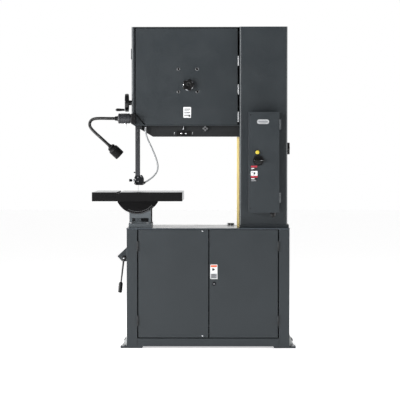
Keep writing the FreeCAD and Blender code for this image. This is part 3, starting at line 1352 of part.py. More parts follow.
def yellow_button():
    """Push button; its cap stands clear of the door by more than its travel."""
    at = (BUTTON_X, 0, BUTTON_Z)
    back = BOX_Y0 - BUTTON_TRAVEL - 2
    cap = turned("y", at, [(0, back - 12), (BUTTON_R - 3, back - 11), (BUTTON_R, back - 7), (BUTTON_R, back),
                           (0, back)])
    return joined(cap, rod("y", at, BUTTON_STEM_R, back, BOX_Y0 + 8))


def cable_gland():
    """Cable gland in the control box's floor."""
    at = (GLAND_X, GLAND_Y, 0)
    nut_z = BOX_Z0 - GLAND_NUT_H
    tip_z = BOX_Z0 - GLAND_L
    nut = hexagon((GLAND_X, GLAND_Y), GLAND_FLATS, nut_z, BOX_Z0)
    dome = turned("z", at, [(0, tip_z), (9, tip_z), (15, tip_z + 9), (16, nut_z), (0, nut_z)])
    return joined(nut, dome)


# ---------------------------------------------------------------- lamp
def lamp_base():
    """Mounting block on the head's face with the lamp's round base and switch bush."""
    block = box(HEAD_X0, HEAD_X0 + LAMP_BLOCK_W, LAMP_Y - 35, HEAD_Y0, LAMP_Z - LAMP_BLOCK_BELOW,
                LAMP_Z + LAMP_BLOCK_ABOVE)
    at = (0, LAMP_Y, LAMP_Z)
    x_end = NECK_ROUTE[0][0]
    x_cap = HEAD_X0 - LAMP_BASE_L
    collar_r = LAMP_BASE_R - 4
    body = turned("x", at, [
        (0, HEAD_X0), (collar_r, HEAD_X0), (collar_r, HEAD_X0 - 10), (LAMP_BASE_R, HEAD_X0 - 11),
        (LAMP_BASE_R, x_cap + 2), (LAMP_BASE_R - 3, x_cap), (20, x_cap), (NECK_R + 2, x_end), (0, x_end),
    ])
    bush = rod("z", (TOGGLE_X, LAMP_Y, 0), TOGGLE_BUSH_R, TOGGLE_Z - 6, LAMP_Z - LAMP_BASE_R + 3)
    well_r = TOGGLE_BALL_R + GAP
    well = rod("z", (TOGGLE_X, LAMP_Y, 0), well_r, TOGGLE_Z - 7, TOGGLE_Z + 5)
    reach = well_r + TOGGLE_PIVOT_SEAT + GAP
    seat = rod("y", (TOGGLE_X, LAMP_Y, TOGGLE_Z), TOGGLE_PIVOT_R + TOGGLE_PIVOT_GAP, -reach, reach)
    return joined(block, body, bush).cut(well).cut(seat)


def lamp_switch():
    """Toggle of the lamp's switch."""
    ball = Part.makeSphere(TOGGLE_BALL_R, Vector(TOGGLE_X, LAMP_Y, TOGGLE_Z))
    reach = TOGGLE_BALL_R + GAP + TOGGLE_PIVOT_SEAT
    pivot = rod("y", (TOGGLE_X, LAMP_Y, TOGGLE_Z), TOGGLE_PIVOT_R, -reach, reach)
    tip = TOGGLE_Z - TOGGLE_L
    bat = turned("z", (TOGGLE_X, LAMP_Y, 0), [(0, tip), (3, tip), (3.2, tip + 4), (2, TOGGLE_Z), (0, TOGGLE_Z)])
    return joined(ball, pivot, bat)


def neck_placement():
    """Placement that carries a shape built about +Z from the origin to the gooseneck's end."""
    end = Vector(*NECK_ROUTE[-1])
    heading = end - Vector(*NECK_ROUTE[-2])
    return FreeCAD.Placement(end, FreeCAD.Rotation(Vector(0, 0, 1), heading))


def lamp_head():
    """Lamp shade: collar, finned shoulder and a bell that holds the lens."""
    inner_r = SHADE_R - SHADE_WALL
    profile = [
        (0, 0), (13, 0), (13, 6), (22, 9), (27, 14), (27, 26), (SHADE_R - 2, 32), (SHADE_R, 36), (SHADE_R, SHADE_L),
        (inner_r, SHADE_L), (inner_r, 40), (24, 32), (10, 28), (0, 28),
    ]
    shade = turned("z", (0, 0, 0), profile)
    for k in range(SHADE_NOTCHES):
        notch = box(24.5, 30, -1.2, 1.2, 13, 26)
        notch.rotate(Vector(0, 0, 0), Vector(0, 0, 1), 360 * k / SHADE_NOTCHES)
        shade = shade.cut(notch)
    shade.Placement = neck_placement()
    return shade


def lamp_lens():
    """Glass disc in the shade's mouth."""
    back = SHADE_L - LENS_IN
    lens = rod("z", (0, 0, 0), SHADE_R - SHADE_WALL, back, back + LENS_T)
    lens.Placement = neck_placement()
    return lens


# ---------------------------------------------------------------- gear lever and small controls
def gear_housing():
    """Housing on the cabinet's side that holds the gear lever's shaft."""
    outline = [(-SIDE_X, GEAR_HOUSING_Z1), (-SIDE_X - GEAR_HOUSING_OUT, GEAR_HOUSING_Z0 + 34),
               (-SIDE_X - GEAR_HOUSING_OUT + 32, GEAR_HOUSING_Z0), (-SIDE_X, GEAR_HOUSING_Z0)]
    body = plate_xz(outline, GEAR_Y0, GEAR_Y1)
    return body.cut(rod("y", (GEAR_PIVOT_X, 0, GEAR_PIVOT_Z), GEAR_SHAFT_R + RUN, GEAR_Y0 - 1,
                        GEAR_Y0 + GEAR_SHAFT_L + 3))


def gear_lever():
    """Lever with its boss, shaft and grip, in front of its housing."""
    at = (GEAR_PIVOT_X, 0, GEAR_PIVOT_Z)
    y1 = GEAR_Y0 - GAP
    y0 = y1 - GEAR_ARM_T
    knee = (GEAR_PIVOT_X - GEAR_ARM_OUT, GEAR_PIVOT_Z - GEAR_ARM_DROP)
    arm = plate_xz([(GEAR_PIVOT_X - 8, GEAR_PIVOT_Z), (GEAR_PIVOT_X + 8, GEAR_PIVOT_Z), (knee[0] + 6, knee[1]),
                    (knee[0] - 6, knee[1])], y0, y1)
    boss = rod("y", at, GEAR_BOSS_R, y0 - 4, y1)
    shaft = rod("y", at, GEAR_SHAFT_R, y1, GEAR_Y0 + GEAR_SHAFT_L)
    heading = Vector(-6, 0, -64)
    base = Vector(knee[0], (y0 + y1) / 2, knee[1] + 6)
    grip = Part.makeCylinder(GEAR_GRIP_R, GEAR_GRIP_L, base, heading)
    return joined(arm, boss, shaft, grip)


def push_button(x):
    """Small round push button on the valve panel."""
    at = (x, 0, PUSH_Z)
    back = PANEL_FRONT - PUSH_TRAVEL - 1
    cap = turned("y", at, [(0, back - 10), (PUSH_R - 1, back - 10), (PUSH_R, back - 8), (PUSH_R, back), (0, back)])
    return joined(cap, rod("y", at, PUSH_STEM_R, back, RECESS_Y + 8))


def valve_knob():
    """Four-lobed knob of the air valve."""
    at = (VALVE_X, 0, VALVE_Z)
    knob = lobed("y", at, VALVE_R, 4, PANEL_FRONT - 22, PANEL_FRONT - 6)
    boss = rod("y", at, 9, PANEL_FRONT - 6, PANEL_FRONT - GAP)
    return joined(knob, boss, rod("y", at, VALVE_SHAFT_R, PANEL_FRONT - GAP, RECESS_Y + 10))


def side_knob():
    """Lobed knob on the column's right side."""
    at = (0, SIDE_KNOB_Y, SIDE_KNOB_Z)
    x0 = COLUMN_X1 + GAP
    knob = lobed("x", at, SIDE_KNOB_R, 6, x0 + 2, x0 + SIDE_KNOB_L)
    boss = rod("x", at, 20, x0, x0 + 2)
    return joined(knob, boss, rod("x", at, SIDE_SHAFT_R, COLUMN_X1 - COLUMN_WALL - 12, x0))


def air_fitting():
    """Elbow on the valve panel that the air hose hangs from."""
    x, y, z = HOSE_ROUTE[0]
    stub = rod("y", (x, 0, ELBOW_Z), ELBOW_R - 1, y, PANEL_FRONT)
    nut = rod("y", (x, 0, ELBOW_Z), ELBOW_R, PANEL_FRONT - 10, PANEL_FRONT)
    ball = Part.makeSphere(ELBOW_R - 1, Vector(x, y, ELBOW_Z))
    drop = rod("z", (x, y, 0), ELBOW_R - 1, z, ELBOW_Z)
    return joined(stub, nut, ball, drop)


# ---------------------------------------------------------------- export
PARTS = {
    "foot_brackets": foot_brackets,
    "machine_bolts": machine_bolts,
    "cabinet_frame": cabinet_frame,
    "cabinet_top_plate": cabinet_top_plate,
    "cabinet_panels": cabinet_panels,
    "wheel_bulkhead": wheel_bulkhead,
    "lower_bearing_housing": lower_bearing_housing,
    "drive_motor": drive_motor,
    "drive_belt": drive_belt,
    "driven_pulley": driven_pulley,
    "motor_pulley": motor_pulley,
    "lower_wheel": lambda: wheel(LOWER_WHEEL_Z, DRIVE_SHAFT_R),
    "lower_tyre": lambda: tyre(LOWER_WHEEL_Z),
    "upper_wheel": lambda: wheel(UPPER_WHEEL_Z, SPINDLE_R + RUN),
    "upper_tyre": lambda: tyre(UPPER_WHEEL_Z),
    "saw_blade": saw_blade,
    "slide_rails": slide_rails,
    "upper_wheel_slide": upper_wheel_slide,
    "tension_screw": tension_screw,
    "column": column,
    "head_shell": head_shell,
    "valve_panel": valve_panel,
    "head_door": head_door,
    "head_knob": head_knob,
    "left_door": left_door,
    "right_door": right_door,
    "door_lock": door_lock,
    "door_hardware": door_hardware,
    "return_guard": return_guard,
    "post_housing": post_housing,
    "guide_post": guide_post,
    "guide_block": guide_block,
    "guide_inserts": guide_inserts,
    "backup_bearing": backup_bearing,
    "thumbscrew": thumbscrew,
    "handwheel": handwheel,
    "crank_grip": crank_grip,
    "table_top": table_top,
    "table_insert": table_insert,
    "trunnion_segments": trunnion_segments,
    "trunnion_base": trunnion_base,
    "lower_guide": lower_guide,
    "electrical_box": electrical_box,
    "control_door": control_door,
    "disconnect_handle": disconnect_handle,
    "yellow_button": yellow_button,
    "cable_gland": cable_gland,
    "lamp_base": lamp_base,
    "lamp_switch": lamp_switch,
    "gooseneck": lambda: tube_along(NECK_ROUTE, NECK_R, "gooseneck"),
    "lamp_head": lamp_head,
    "lamp_lens": lamp_lens,
    "gear_housing": gear_housing,
    "gear_lever": gear_lever,
    "button_left": lambda: push_button(PUSH_XS["button_left"]),
    "button_right": lambda: push_button(PUSH_XS["button_right"]),
    "valve_knob": valve_knob,
    "side_knob": side_knob,
    "air_fitting": air_fitting,
    "air_hose": lambda: tube_along(HOSE_ROUTE, HOSE_R, "air_hose"),
}

os.makedirs("parts", exist_ok=True)
for name, make in PARTS.items():
    shape = make()
    solids = len(shape.Solids)
    if solids == 0 or not shape.isValid():
        print(f"{name}: faulty shape")
    print(f"{name}: {solids} solid(s), {shape.Volume / 1000:.1f} cm3")
    shape.exportStep(f"parts/{name}.step")
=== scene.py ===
"""Looks of a floor-standing vertical band saw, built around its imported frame.

Sizes are in millimetres in the classes' fields and become metres where a mesh is made.
"""

import json
import logging
import math
from collections.abc import Callable, Iterable, Sequence
from dataclasses import dataclass
from enum import Enum

import bmesh
import bpy
from mathutils import Matrix, Vector

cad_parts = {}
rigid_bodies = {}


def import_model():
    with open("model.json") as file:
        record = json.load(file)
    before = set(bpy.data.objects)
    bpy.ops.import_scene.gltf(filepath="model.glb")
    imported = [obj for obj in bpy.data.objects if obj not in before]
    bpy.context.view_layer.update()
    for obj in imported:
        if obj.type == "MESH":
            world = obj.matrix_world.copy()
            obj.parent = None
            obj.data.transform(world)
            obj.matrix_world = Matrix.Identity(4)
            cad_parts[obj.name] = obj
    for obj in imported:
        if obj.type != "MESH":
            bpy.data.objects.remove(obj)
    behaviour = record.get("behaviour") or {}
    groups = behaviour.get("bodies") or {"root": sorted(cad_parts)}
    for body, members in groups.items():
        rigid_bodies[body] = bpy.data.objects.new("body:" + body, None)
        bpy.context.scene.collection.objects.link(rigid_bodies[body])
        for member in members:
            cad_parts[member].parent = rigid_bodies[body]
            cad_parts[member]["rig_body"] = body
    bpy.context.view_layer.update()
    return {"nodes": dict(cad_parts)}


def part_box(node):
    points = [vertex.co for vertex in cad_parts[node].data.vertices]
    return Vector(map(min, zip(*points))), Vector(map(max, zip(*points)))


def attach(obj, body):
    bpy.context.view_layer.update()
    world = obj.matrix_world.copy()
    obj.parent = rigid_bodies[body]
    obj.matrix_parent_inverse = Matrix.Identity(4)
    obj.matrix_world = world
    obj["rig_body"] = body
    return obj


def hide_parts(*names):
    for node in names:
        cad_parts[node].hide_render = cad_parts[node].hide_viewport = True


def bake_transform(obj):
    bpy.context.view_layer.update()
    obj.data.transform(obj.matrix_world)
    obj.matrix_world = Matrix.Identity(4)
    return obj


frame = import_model()

MM = 0.001
LOG = logging.getLogger("band_saw")
Point = tuple[float, float, float]
Spot = tuple[float, float]
Colour = tuple[float, float, float, float]


# ---------------------------------------------------------------- workshop: making meshes
class Axis(Enum):
    """Direction that a turned or extruded piece runs along."""

    X = 0
    Y = 1
    Z = 2


def metres(point: Iterable[float]) -> Vector:
    """Turns a point in millimetres into one in metres."""
    return Vector(point) * MM


def spot_on(axis: Axis, u: float, v: float, along: float) -> Vector:
    """Places a flat outline's point in space.

    Args:
        axis: The direction the outline is extruded along.
        u: First coordinate in the outline's plane (Y for X, otherwise X), mm.
        v: Second coordinate in the outline's plane (Y for Z, otherwise Z), mm.
        along: Place along the axis, mm.

    Returns:
        The point in metres.
    """
    if axis is Axis.X:
        return metres((along, u, v))
    if axis is Axis.Y:
        return metres((u, along, v))
    return metres((u, v, along))


def select_only(*pieces: bpy.types.Object) -> None:
    """Selects these objects alone and makes the first one active."""
    for other in list(bpy.context.selected_objects):
        other.select_set(False)
    for piece in pieces:
        piece.select_set(True)
    bpy.context.view_layer.objects.active = pieces[0]


def start_edit(piece: bpy.types.Object) -> None:
    """Enters edit mode on one object with everything in it selected."""
    select_only(piece)
    bpy.ops.object.mode_set(mode="EDIT")
    bpy.ops.mesh.select_all(action="SELECT")


def end_edit() -> None:
    """Leaves edit mode."""
    bpy.ops.object.mode_set(mode="OBJECT")


def fresh(name: str) -> bpy.types.Object:
    """Names the object that an operator has just added and puts its place into its mesh."""
    piece = bpy.context.object
    piece.name = name
    piece.data.name = name
    select_only(piece)
    bpy.ops.object.transform_apply(location=True, rotation=True, scale=True)
    return piece


def block(name: str, low: Point, high: Point) -> bpy.types.Object:
    """Adds a rectangular block.

    Args:
        name: The object's name.
        low: Lowest corner, mm.
        high: Highest corner, mm.

    Returns:
        The new object.
    """
    bpy.ops.object.select_all(action="DESELECT")
    a, b = metres(low), metres(high)
    bpy.ops.mesh.primitive_cube_add(size=1.0, location=(a + b) / 2)
    bpy.context.object.scale = b - a
    return fresh(name)


def outline_plate(name: str, axis: Axis, outline: Sequence[Spot], start: float,
        end: float) -> bpy.types.Object:
    """Adds a plate: a flat outline extruded along an axis.

    Args:
        name: The object's name.
        axis: Direction of the extrusion.
        outline: Corner points in order, mm.
        start: Where the plate starts along the axis, mm.
        end: Where it ends, mm.

    Returns:
        The new object.
    """
    bpy.ops.object.select_all(action="DESELECT")
    bpy.ops.mesh.primitive_circle_add(vertices=len(outline), fill_type="NGON", radius=1.0)
    piece = fresh(name)
    for vertex, (u, v) in zip(piece.data.vertices, outline):
        vertex.co = spot_on(axis, u, v, start)
    start_edit(piece)
    shift = spot_on(axis, 0, 0, end - start)
    bpy.ops.mesh.extrude_region_move(TRANSFORM_OT_translate={"value": shift})
    bpy.ops.mesh.select_all(action="SELECT")
    bpy.ops.mesh.normals_make_consistent(inside=False)
    end_edit()
    return piece


def turned(name: str, axis: Axis, centre: Point, profile: Sequence[Spot],
           steps: int = 48) -> bpy.types.Object:
    """Adds a turned piece: a closed profile spun a full turn.

    Args:
        name: The object's name.
        axis: The axis it is turned about.
        centre: A point on that axis, mm.
        profile: Closed loop of (radius, place along the axis from the centre), mm.
        steps: Facets round the axis.

    Returns:
        The new object.
    """
    bpy.ops.object.select_all(action="DESELECT")
    bpy.ops.mesh.primitive_circle_add(vertices=len(profile), fill_type="NOTHING", radius=1.0)
    piece = fresh(name)
    for vertex, (radius, along) in zip(piece.data.vertices, profile):
        vertex.co = metres((radius, 0, along))
    start_edit(piece)
    bpy.ops.mesh.spin(steps=steps, angle=math.tau, center=(0, 0, 0), axis=(0, 0, 1))
    bpy.ops.mesh.select_all(action="SELECT")
    bpy.ops.mesh.remove_doubles(threshold=1e-6)
    bpy.ops.mesh.normals_make_consistent(inside=False)
    end_edit()
    turns = {
        Axis.X: Matrix.Rotation(math.radians(90), 4, "Y"),
        Axis.Y: Matrix.Rotation(math.radians(-90), 4, "X"),
        Axis.Z: Matrix.Identity(4),
    }
    piece.data.transform(Matrix.Translation(metres(centre)) @ turns[axis])
    return piece


def apply_modifier(piece: bpy.types.Object, kind: str, **settings: object) -> None:
    """Adds a modifier with these settings and applies it."""
    select_only(piece)
    modifier = piece.modifiers.new(kind.title(), kind)
    for key, value in settings.items():
        setattr(modifier, key, value)
    bpy.ops.object.modifier_apply(modifier=modifier.name)


def soften(piece: bpy.types.Object, width: float, segments: int = 2, angle: float = 30.0) -> bpy.types.Object:
    """Rounds a piece's sharp edges.

    Args:
        piece: The object.
        width: Width of the rounding, mm.
        segments: Facets across it.
        angle: Edges sharper than this many degrees are rounded.

    Returns:
        The same object.
    """
    apply_modifier(piece, "BEVEL", width=width * MM, segments=segments, limit_method="ANGLE",
            angle_limit=math.radians(angle), use_clamp_overlap=True)
    return smooth(piece)


def smooth(piece: bpy.types.Object, angle: float = 35.0) -> bpy.types.Object:
    """Shades a piece smooth except across sharp edges, with its large faces kept flat.

    Args:
        piece: The object.
        angle: Edges sharper than this many degrees stay crisp.

    Returns:
        The same object.
    """
    select_only(piece)
    bpy.ops.object.shade_smooth_by_angle(angle=math.radians(angle))
    apply_modifier(piece, "WEIGHTED_NORMAL", keep_sharp=True, weight=60)
    return piece


def merge(*pieces: bpy.types.Object) -> bpy.types.Object:
    """Joins pieces into the first one, keeping each one's materials."""
    select_only(*pieces)
    bpy.ops.object.join()
    return pieces[0]


def cut(piece: bpy.types.Object, tool: bpy.types.Object) -> bpy.types.Object:
    """Cuts a tool's shape out of a piece and removes the tool."""
    apply_modifier(piece, "BOOLEAN", object=tool, operation="DIFFERENCE", solver="EXACT")
    bpy.data.objects.remove(tool, do_unlink=True)
    return piece


def select_edges(piece: bpy.types.Object, wanted: Callable[[Vector, Vector], bool]) -> int:
    """Selects edges in edit mode by the places of their ends.

    Args:
        piece: The object in edit mode.
        wanted: Test of an edge's two ends, in metres.

    Returns:
        How many edges were selected.
    """
    bpy.ops.mesh.select_all(action="DESELECT")
    bpy.ops.mesh.select_mode(type="EDGE")
    mesh = bmesh.from_edit_mesh(piece.data)
    chosen = [edge for edge in mesh.edges if wanted(edge.verts[0].co, edge.verts[1].co)]
    for edge in chosen:
        edge.select_set(True)
    bmesh.update_edit_mesh(piece.data)
    return len(chosen)


def select_faces(piece: bpy.types.Object, wanted: Callable[[Vector, Vector], bool]) -> int:
    """Selects faces in edit mode by their normal and middle.

    Args:
        piece: The object in edit mode.
        wanted: Test of a face's normal and its middle in metres.

    Returns:
        How many faces were selected.
    """
    bpy.ops.mesh.select_all(action="DESELECT")
    bpy.ops.mesh.select_mode(type="FACE")
    mesh = bmesh.from_edit_mesh(piece.data)
    chosen = [face for face in mesh.faces if wanted(face.normal, face.calc_center_median())]
    for face in chosen:
        face.select_set(True)
    bmesh.update_edit_mesh(piece.data)
    return len(chosen)


def inset_panel(piece: bpy.types.Object, facing: Vector, margin: float, depth: float) -> bpy.types.Object:
    """Sinks a panel into the faces that look one way.

    Args:
        piece: The object.
        facing: Direction that the faces look in.
        margin: Width of the border left standing, mm.
        depth: How deep the panel is, mm; negative stands proud.

    Returns:
        The same object.
    """
    start_edit(piece)
    select_faces(piece, lambda normal, _: normal.dot(facing) > 0.999)
    bpy.ops.mesh.inset(thickness=margin * MM, depth=0.0)
    bpy.ops.mesh.extrude_region_shrink_fatten(TRANSFORM_OT_shrink_fatten={"value": -depth * MM})
    end_edit()
    return piece


def lobed_outline(radius: float, lobes: int, depth: float, points: int = 120) -> list[Spot]:
    """Outline of a lobed knob round the origin.

    Args:
        radius: Radius at the lobes' tips, mm.
        lobes: How many lobes.
        depth: How far the hollows come in, as a share of the radius.
        points: Corners of the outline.

    Returns:
        The outline's points, mm.
    """
    spots = []
    for k in range(points):
        angle = math.tau * k / points
        wave = 0.5 + 0.5 * math.cos(lobes * angle)
        reach = radius * (1 - depth * (1 - wave) ** 1.6)
        spots.append((reach * math.cos(angle), reach * math.sin(angle)))
    return spots


def moved(outline: Iterable[Spot], u: float, v: float) -> list[Spot]:
    """Shifts an outline in its plane."""
    return [(a + u, b + v) for a, b in outline]


def rounded_outline(u0: float, u1: float, v0: float, v1: float, radius: float, points: int = 6) -> list[Spot]:
    """Outline of a rectangle with round corners.

    Args:
        u0: Lowest first coordinate, mm.
        u1: Highest first coordinate, mm.
        v0: Lowest second coordinate, mm.
        v1: Highest second coordinate, mm.
        radius: Corner radius, mm.
        points: Steps round each corner.

    Returns:
        The outline's points, mm.
    """
    corners = [(u1 - radius, v1 - radius, 0), (u0 + radius, v1 - radius, 90),
               (u0 + radius, v0 + radius, 180), (u1 - radius, v0 + radius, 270)]
    spots = []
    for u, v, first in corners:
        for k in range(points + 1):
            angle = math.radians(first + 90 * k / points)
            spots.append((u + radius * math.cos(angle), v + radius * math.sin(angle)))
    return spots


def swept_tube(name: str, path: Sequence[Vector], radius_at: Callable[[float], float],
        sides: int = 16) -> bpy.types.Object:
    """Makes a closed round tube along a path, with a radius that may change.

    Args:
        name: The object's name.
        path: Points in metres, close together.
        radius_at: Radius in metres for a length along the path in metres.
        sides: Facets round the tube.

    Returns:
        The new object.
    """
    verts: list[Vector] = []
    travelled = 0.0
    side = Vector((0, 1, 0))
    for k, here in enumerate(path):
        ahead = path[min(k + 1, len(path) - 1)]
        behind = path[max(k - 1, 0)]
        tangent = (ahead - behind).normalized()
        side = (side - tangent * side.dot(tangent)).normalized()
        across = tangent.cross(side)
        if k:
            travelled += (here - path[k - 1]).length
        radius = radius_at(travelled)
        for j in range(sides):
            angle = math.tau * j / sides
            verts.append(here + (side * math.cos(angle) + across * math.sin(angle)) * radius)
    faces: list[tuple[int, ...]] = []
    for k in range(len(path) - 1):
        for j in range(sides):
            n = (j + 1) % sides
            faces.append((k * sides + j, k * sides + n, (k + 1) * sides + n, (k + 1) * sides + j))
    faces.append(tuple(range(sides - 1, -1, -1)))
    faces.append(tuple((len(path) - 1) * sides + j for j in range(sides)))
    mesh = bpy.data.meshes.new(name)
    mesh.from_pydata(verts, [], faces)
    piece = bpy.data.objects.new(name, mesh)
    bpy.context.collection.objects.link(piece)
    start_edit(piece)
    bpy.ops.mesh.normals_make_consistent(inside=False)
    end_edit()
    return smooth(piece, 60.0)


def route_points(route: Sequence[Point], per_span: int) -> list[Vector]:
    """Reads points from the smooth line that a route's points control.

    Args:
        route: Control points, mm.
        per_span: Points per span of the line.

    Returns:
        Points on the line, in metres.
    """
    curve = bpy.data.curves.new("route", "CURVE")
    curve.dimensions = "3D"
    spline = curve.splines.new("NURBS")
    spline.points.add(len(route) - 1)
    for point, place in zip(spline.points, route):
        point.co = (*metres(place), 1.0)
    spline.order_u = 3
    spline.use_endpoint_u = True
    spline.resolution_u = per_span
    line = bpy.data.objects.new("route", curve)
    mesh = bpy.data.meshes.new_from_object(line)
    points = [vertex.co.copy() for vertex in mesh.vertices]
    bpy.data.objects.remove(line)
    bpy.data.curves.remove(curve)
    bpy.data.meshes.remove(mesh)
    return points


def length_of(path: Sequence[Vector]) -> float:
    """Length of a path in metres."""
    return sum((b - a).length for a, b in zip(path, path[1:]))


def turned_along(name: str, start: Point, heading: Point, profile: Sequence[Spot],
        steps: int = 48) -> bpy.types.Object:
    """Adds a turned piece whose axis runs in any direction.

    Args:
        name: The object's name.
        start: Where its axis starts, mm.
        heading: Direction of its axis.
        profile: Closed loop of (radius, place along the axis from the start), mm.
        steps: Facets round the axis.

    Returns:
        The new object.
    """
    piece = turned(name, Axis.Z, (0, 0, 0), profile, steps)
    turn = Vector(heading).to_track_quat("Z", "Y").to_matrix().to_4x4()
    piece.data.transform(Matrix.Translation(metres(start)) @ turn)
    return piece


def domed(radius: float, start: float, end: float, dome: float, edge: float) -> list[Spot]:
    """Profile of a solid round cap with a rounded rim and a low dome.

    Args:
        radius: Outer radius, mm.
        start: Where its back is, mm.
        end: Where its front rim is, mm; it may lie on either side of the start.
        dome: How much lower the rim is than the middle, mm.
        edge: Rounding of the rim, mm.

    Returns:
        Closed profile for a turned piece.
    """
    way = 1 if end > start else -1
    spots = [(0.0, start), (radius, start)]
    for k in range(5):
        angle = math.radians(90 * k / 4)
        spots.append((radius - edge + edge * math.cos(angle),
                end - way * edge + way * edge * math.sin(angle)))
    spots.append((radius * 0.5, end + way * dome * 0.75))
    spots.append((0.0, end + way * dome))
    return spots


# ---------------------------------------------------------------- shader helpers
def tint(red: int, green: int, blue: int) -> Colour:
    """Turns screen values from 0 to 255 into a linear colour."""
    def linear(value: int) -> float:
        """One channel's linear value."""
        share = value / 255
        return share / 12.92 if share <= 0.04045 else ((share + 0.055) / 1.055) ** 2.4
    return (linear(red), linear(green), linear(blue), 1.0)


class Wiring:
    """Adds and joins nodes in one shader tree."""

    def __init__(self, tree: bpy.types.NodeTree) -> None:
        """Keeps the tree."""
        self.tree = tree

    def add(self, kind: str, **settings: object) -> bpy.types.Node:
        """Adds a node with these settings."""
        node = self.tree.nodes.new(kind)
        for key, value in settings.items():
            setattr(node, key, value)
        return node

    def feed(self, target: bpy.types.NodeSocket, source: object) -> None:
        """Links a socket to a target, or sets the target's own value."""
        if isinstance(source, bpy.types.NodeSocket):
            self.tree.links.new(source, target)
        else:
            target.default_value = source

    def maths(self, operation: str, a: object, b: object = 0.0, clamp: bool = False) -> bpy.types.NodeSocket:
        """Adds a Math node and returns its output."""
        node = self.add("ShaderNodeMath", operation=operation, use_clamp=clamp)
        self.feed(node.inputs[0], a)
        self.feed(node.inputs[1], b)
        return node.outputs[0]

    def noise(self, vector: object, scale: object, detail: float = 3.0,
              roughness: float = 0.55) -> bpy.types.NodeSocket:
        """Adds a noise texture and returns its value."""
        node = self.add("ShaderNodeTexNoise")
        self.feed(node.inputs["Vector"], vector)
        self.feed(node.inputs["Scale"], scale)
        node.inputs["Detail"].default_value = detail
        node.inputs["Roughness"].default_value = roughness
        return node.outputs["Fac"]

    def ramp(self, value: object, low: float, high: float, out_low: float = 0.0,
             out_high: float = 1.0) -> bpy.types.NodeSocket:
        """Maps a range of values smoothly onto another."""
        node = self.add("ShaderNodeMapRange", interpolation_type="SMOOTHSTEP")
        self.feed(node.inputs["Value"], value)
        for socket, number in (("From Min", low), ("From Max", high), ("To Min", out_low),
                ("To Max", out_high)):
            node.inputs[socket].default_value = number
        return node.outputs["Result"]

    def mix(self, factor: object, a: object, b: object, blend: str = "MIX") -> bpy.types.NodeSocket:
        """Mixes two colours and returns the result."""
        node = self.add("ShaderNodeMix", data_type="RGBA", blend_type=blend)
        self.feed(node.inputs[0], factor)
        self.feed(node.inputs[6], a)
        self.feed(node.inputs[7], b)
        return node.outputs[2]

    def scaled(self, vector: object, scale: Point) -> bpy.types.NodeSocket:
        """Stretches a vector by a Mapping node."""
        node = self.add("ShaderNodeMapping")
        self.feed(node.inputs["Vector"], vector)
        node.inputs["Scale"].default_value = scale
        return node.outputs["Vector"]


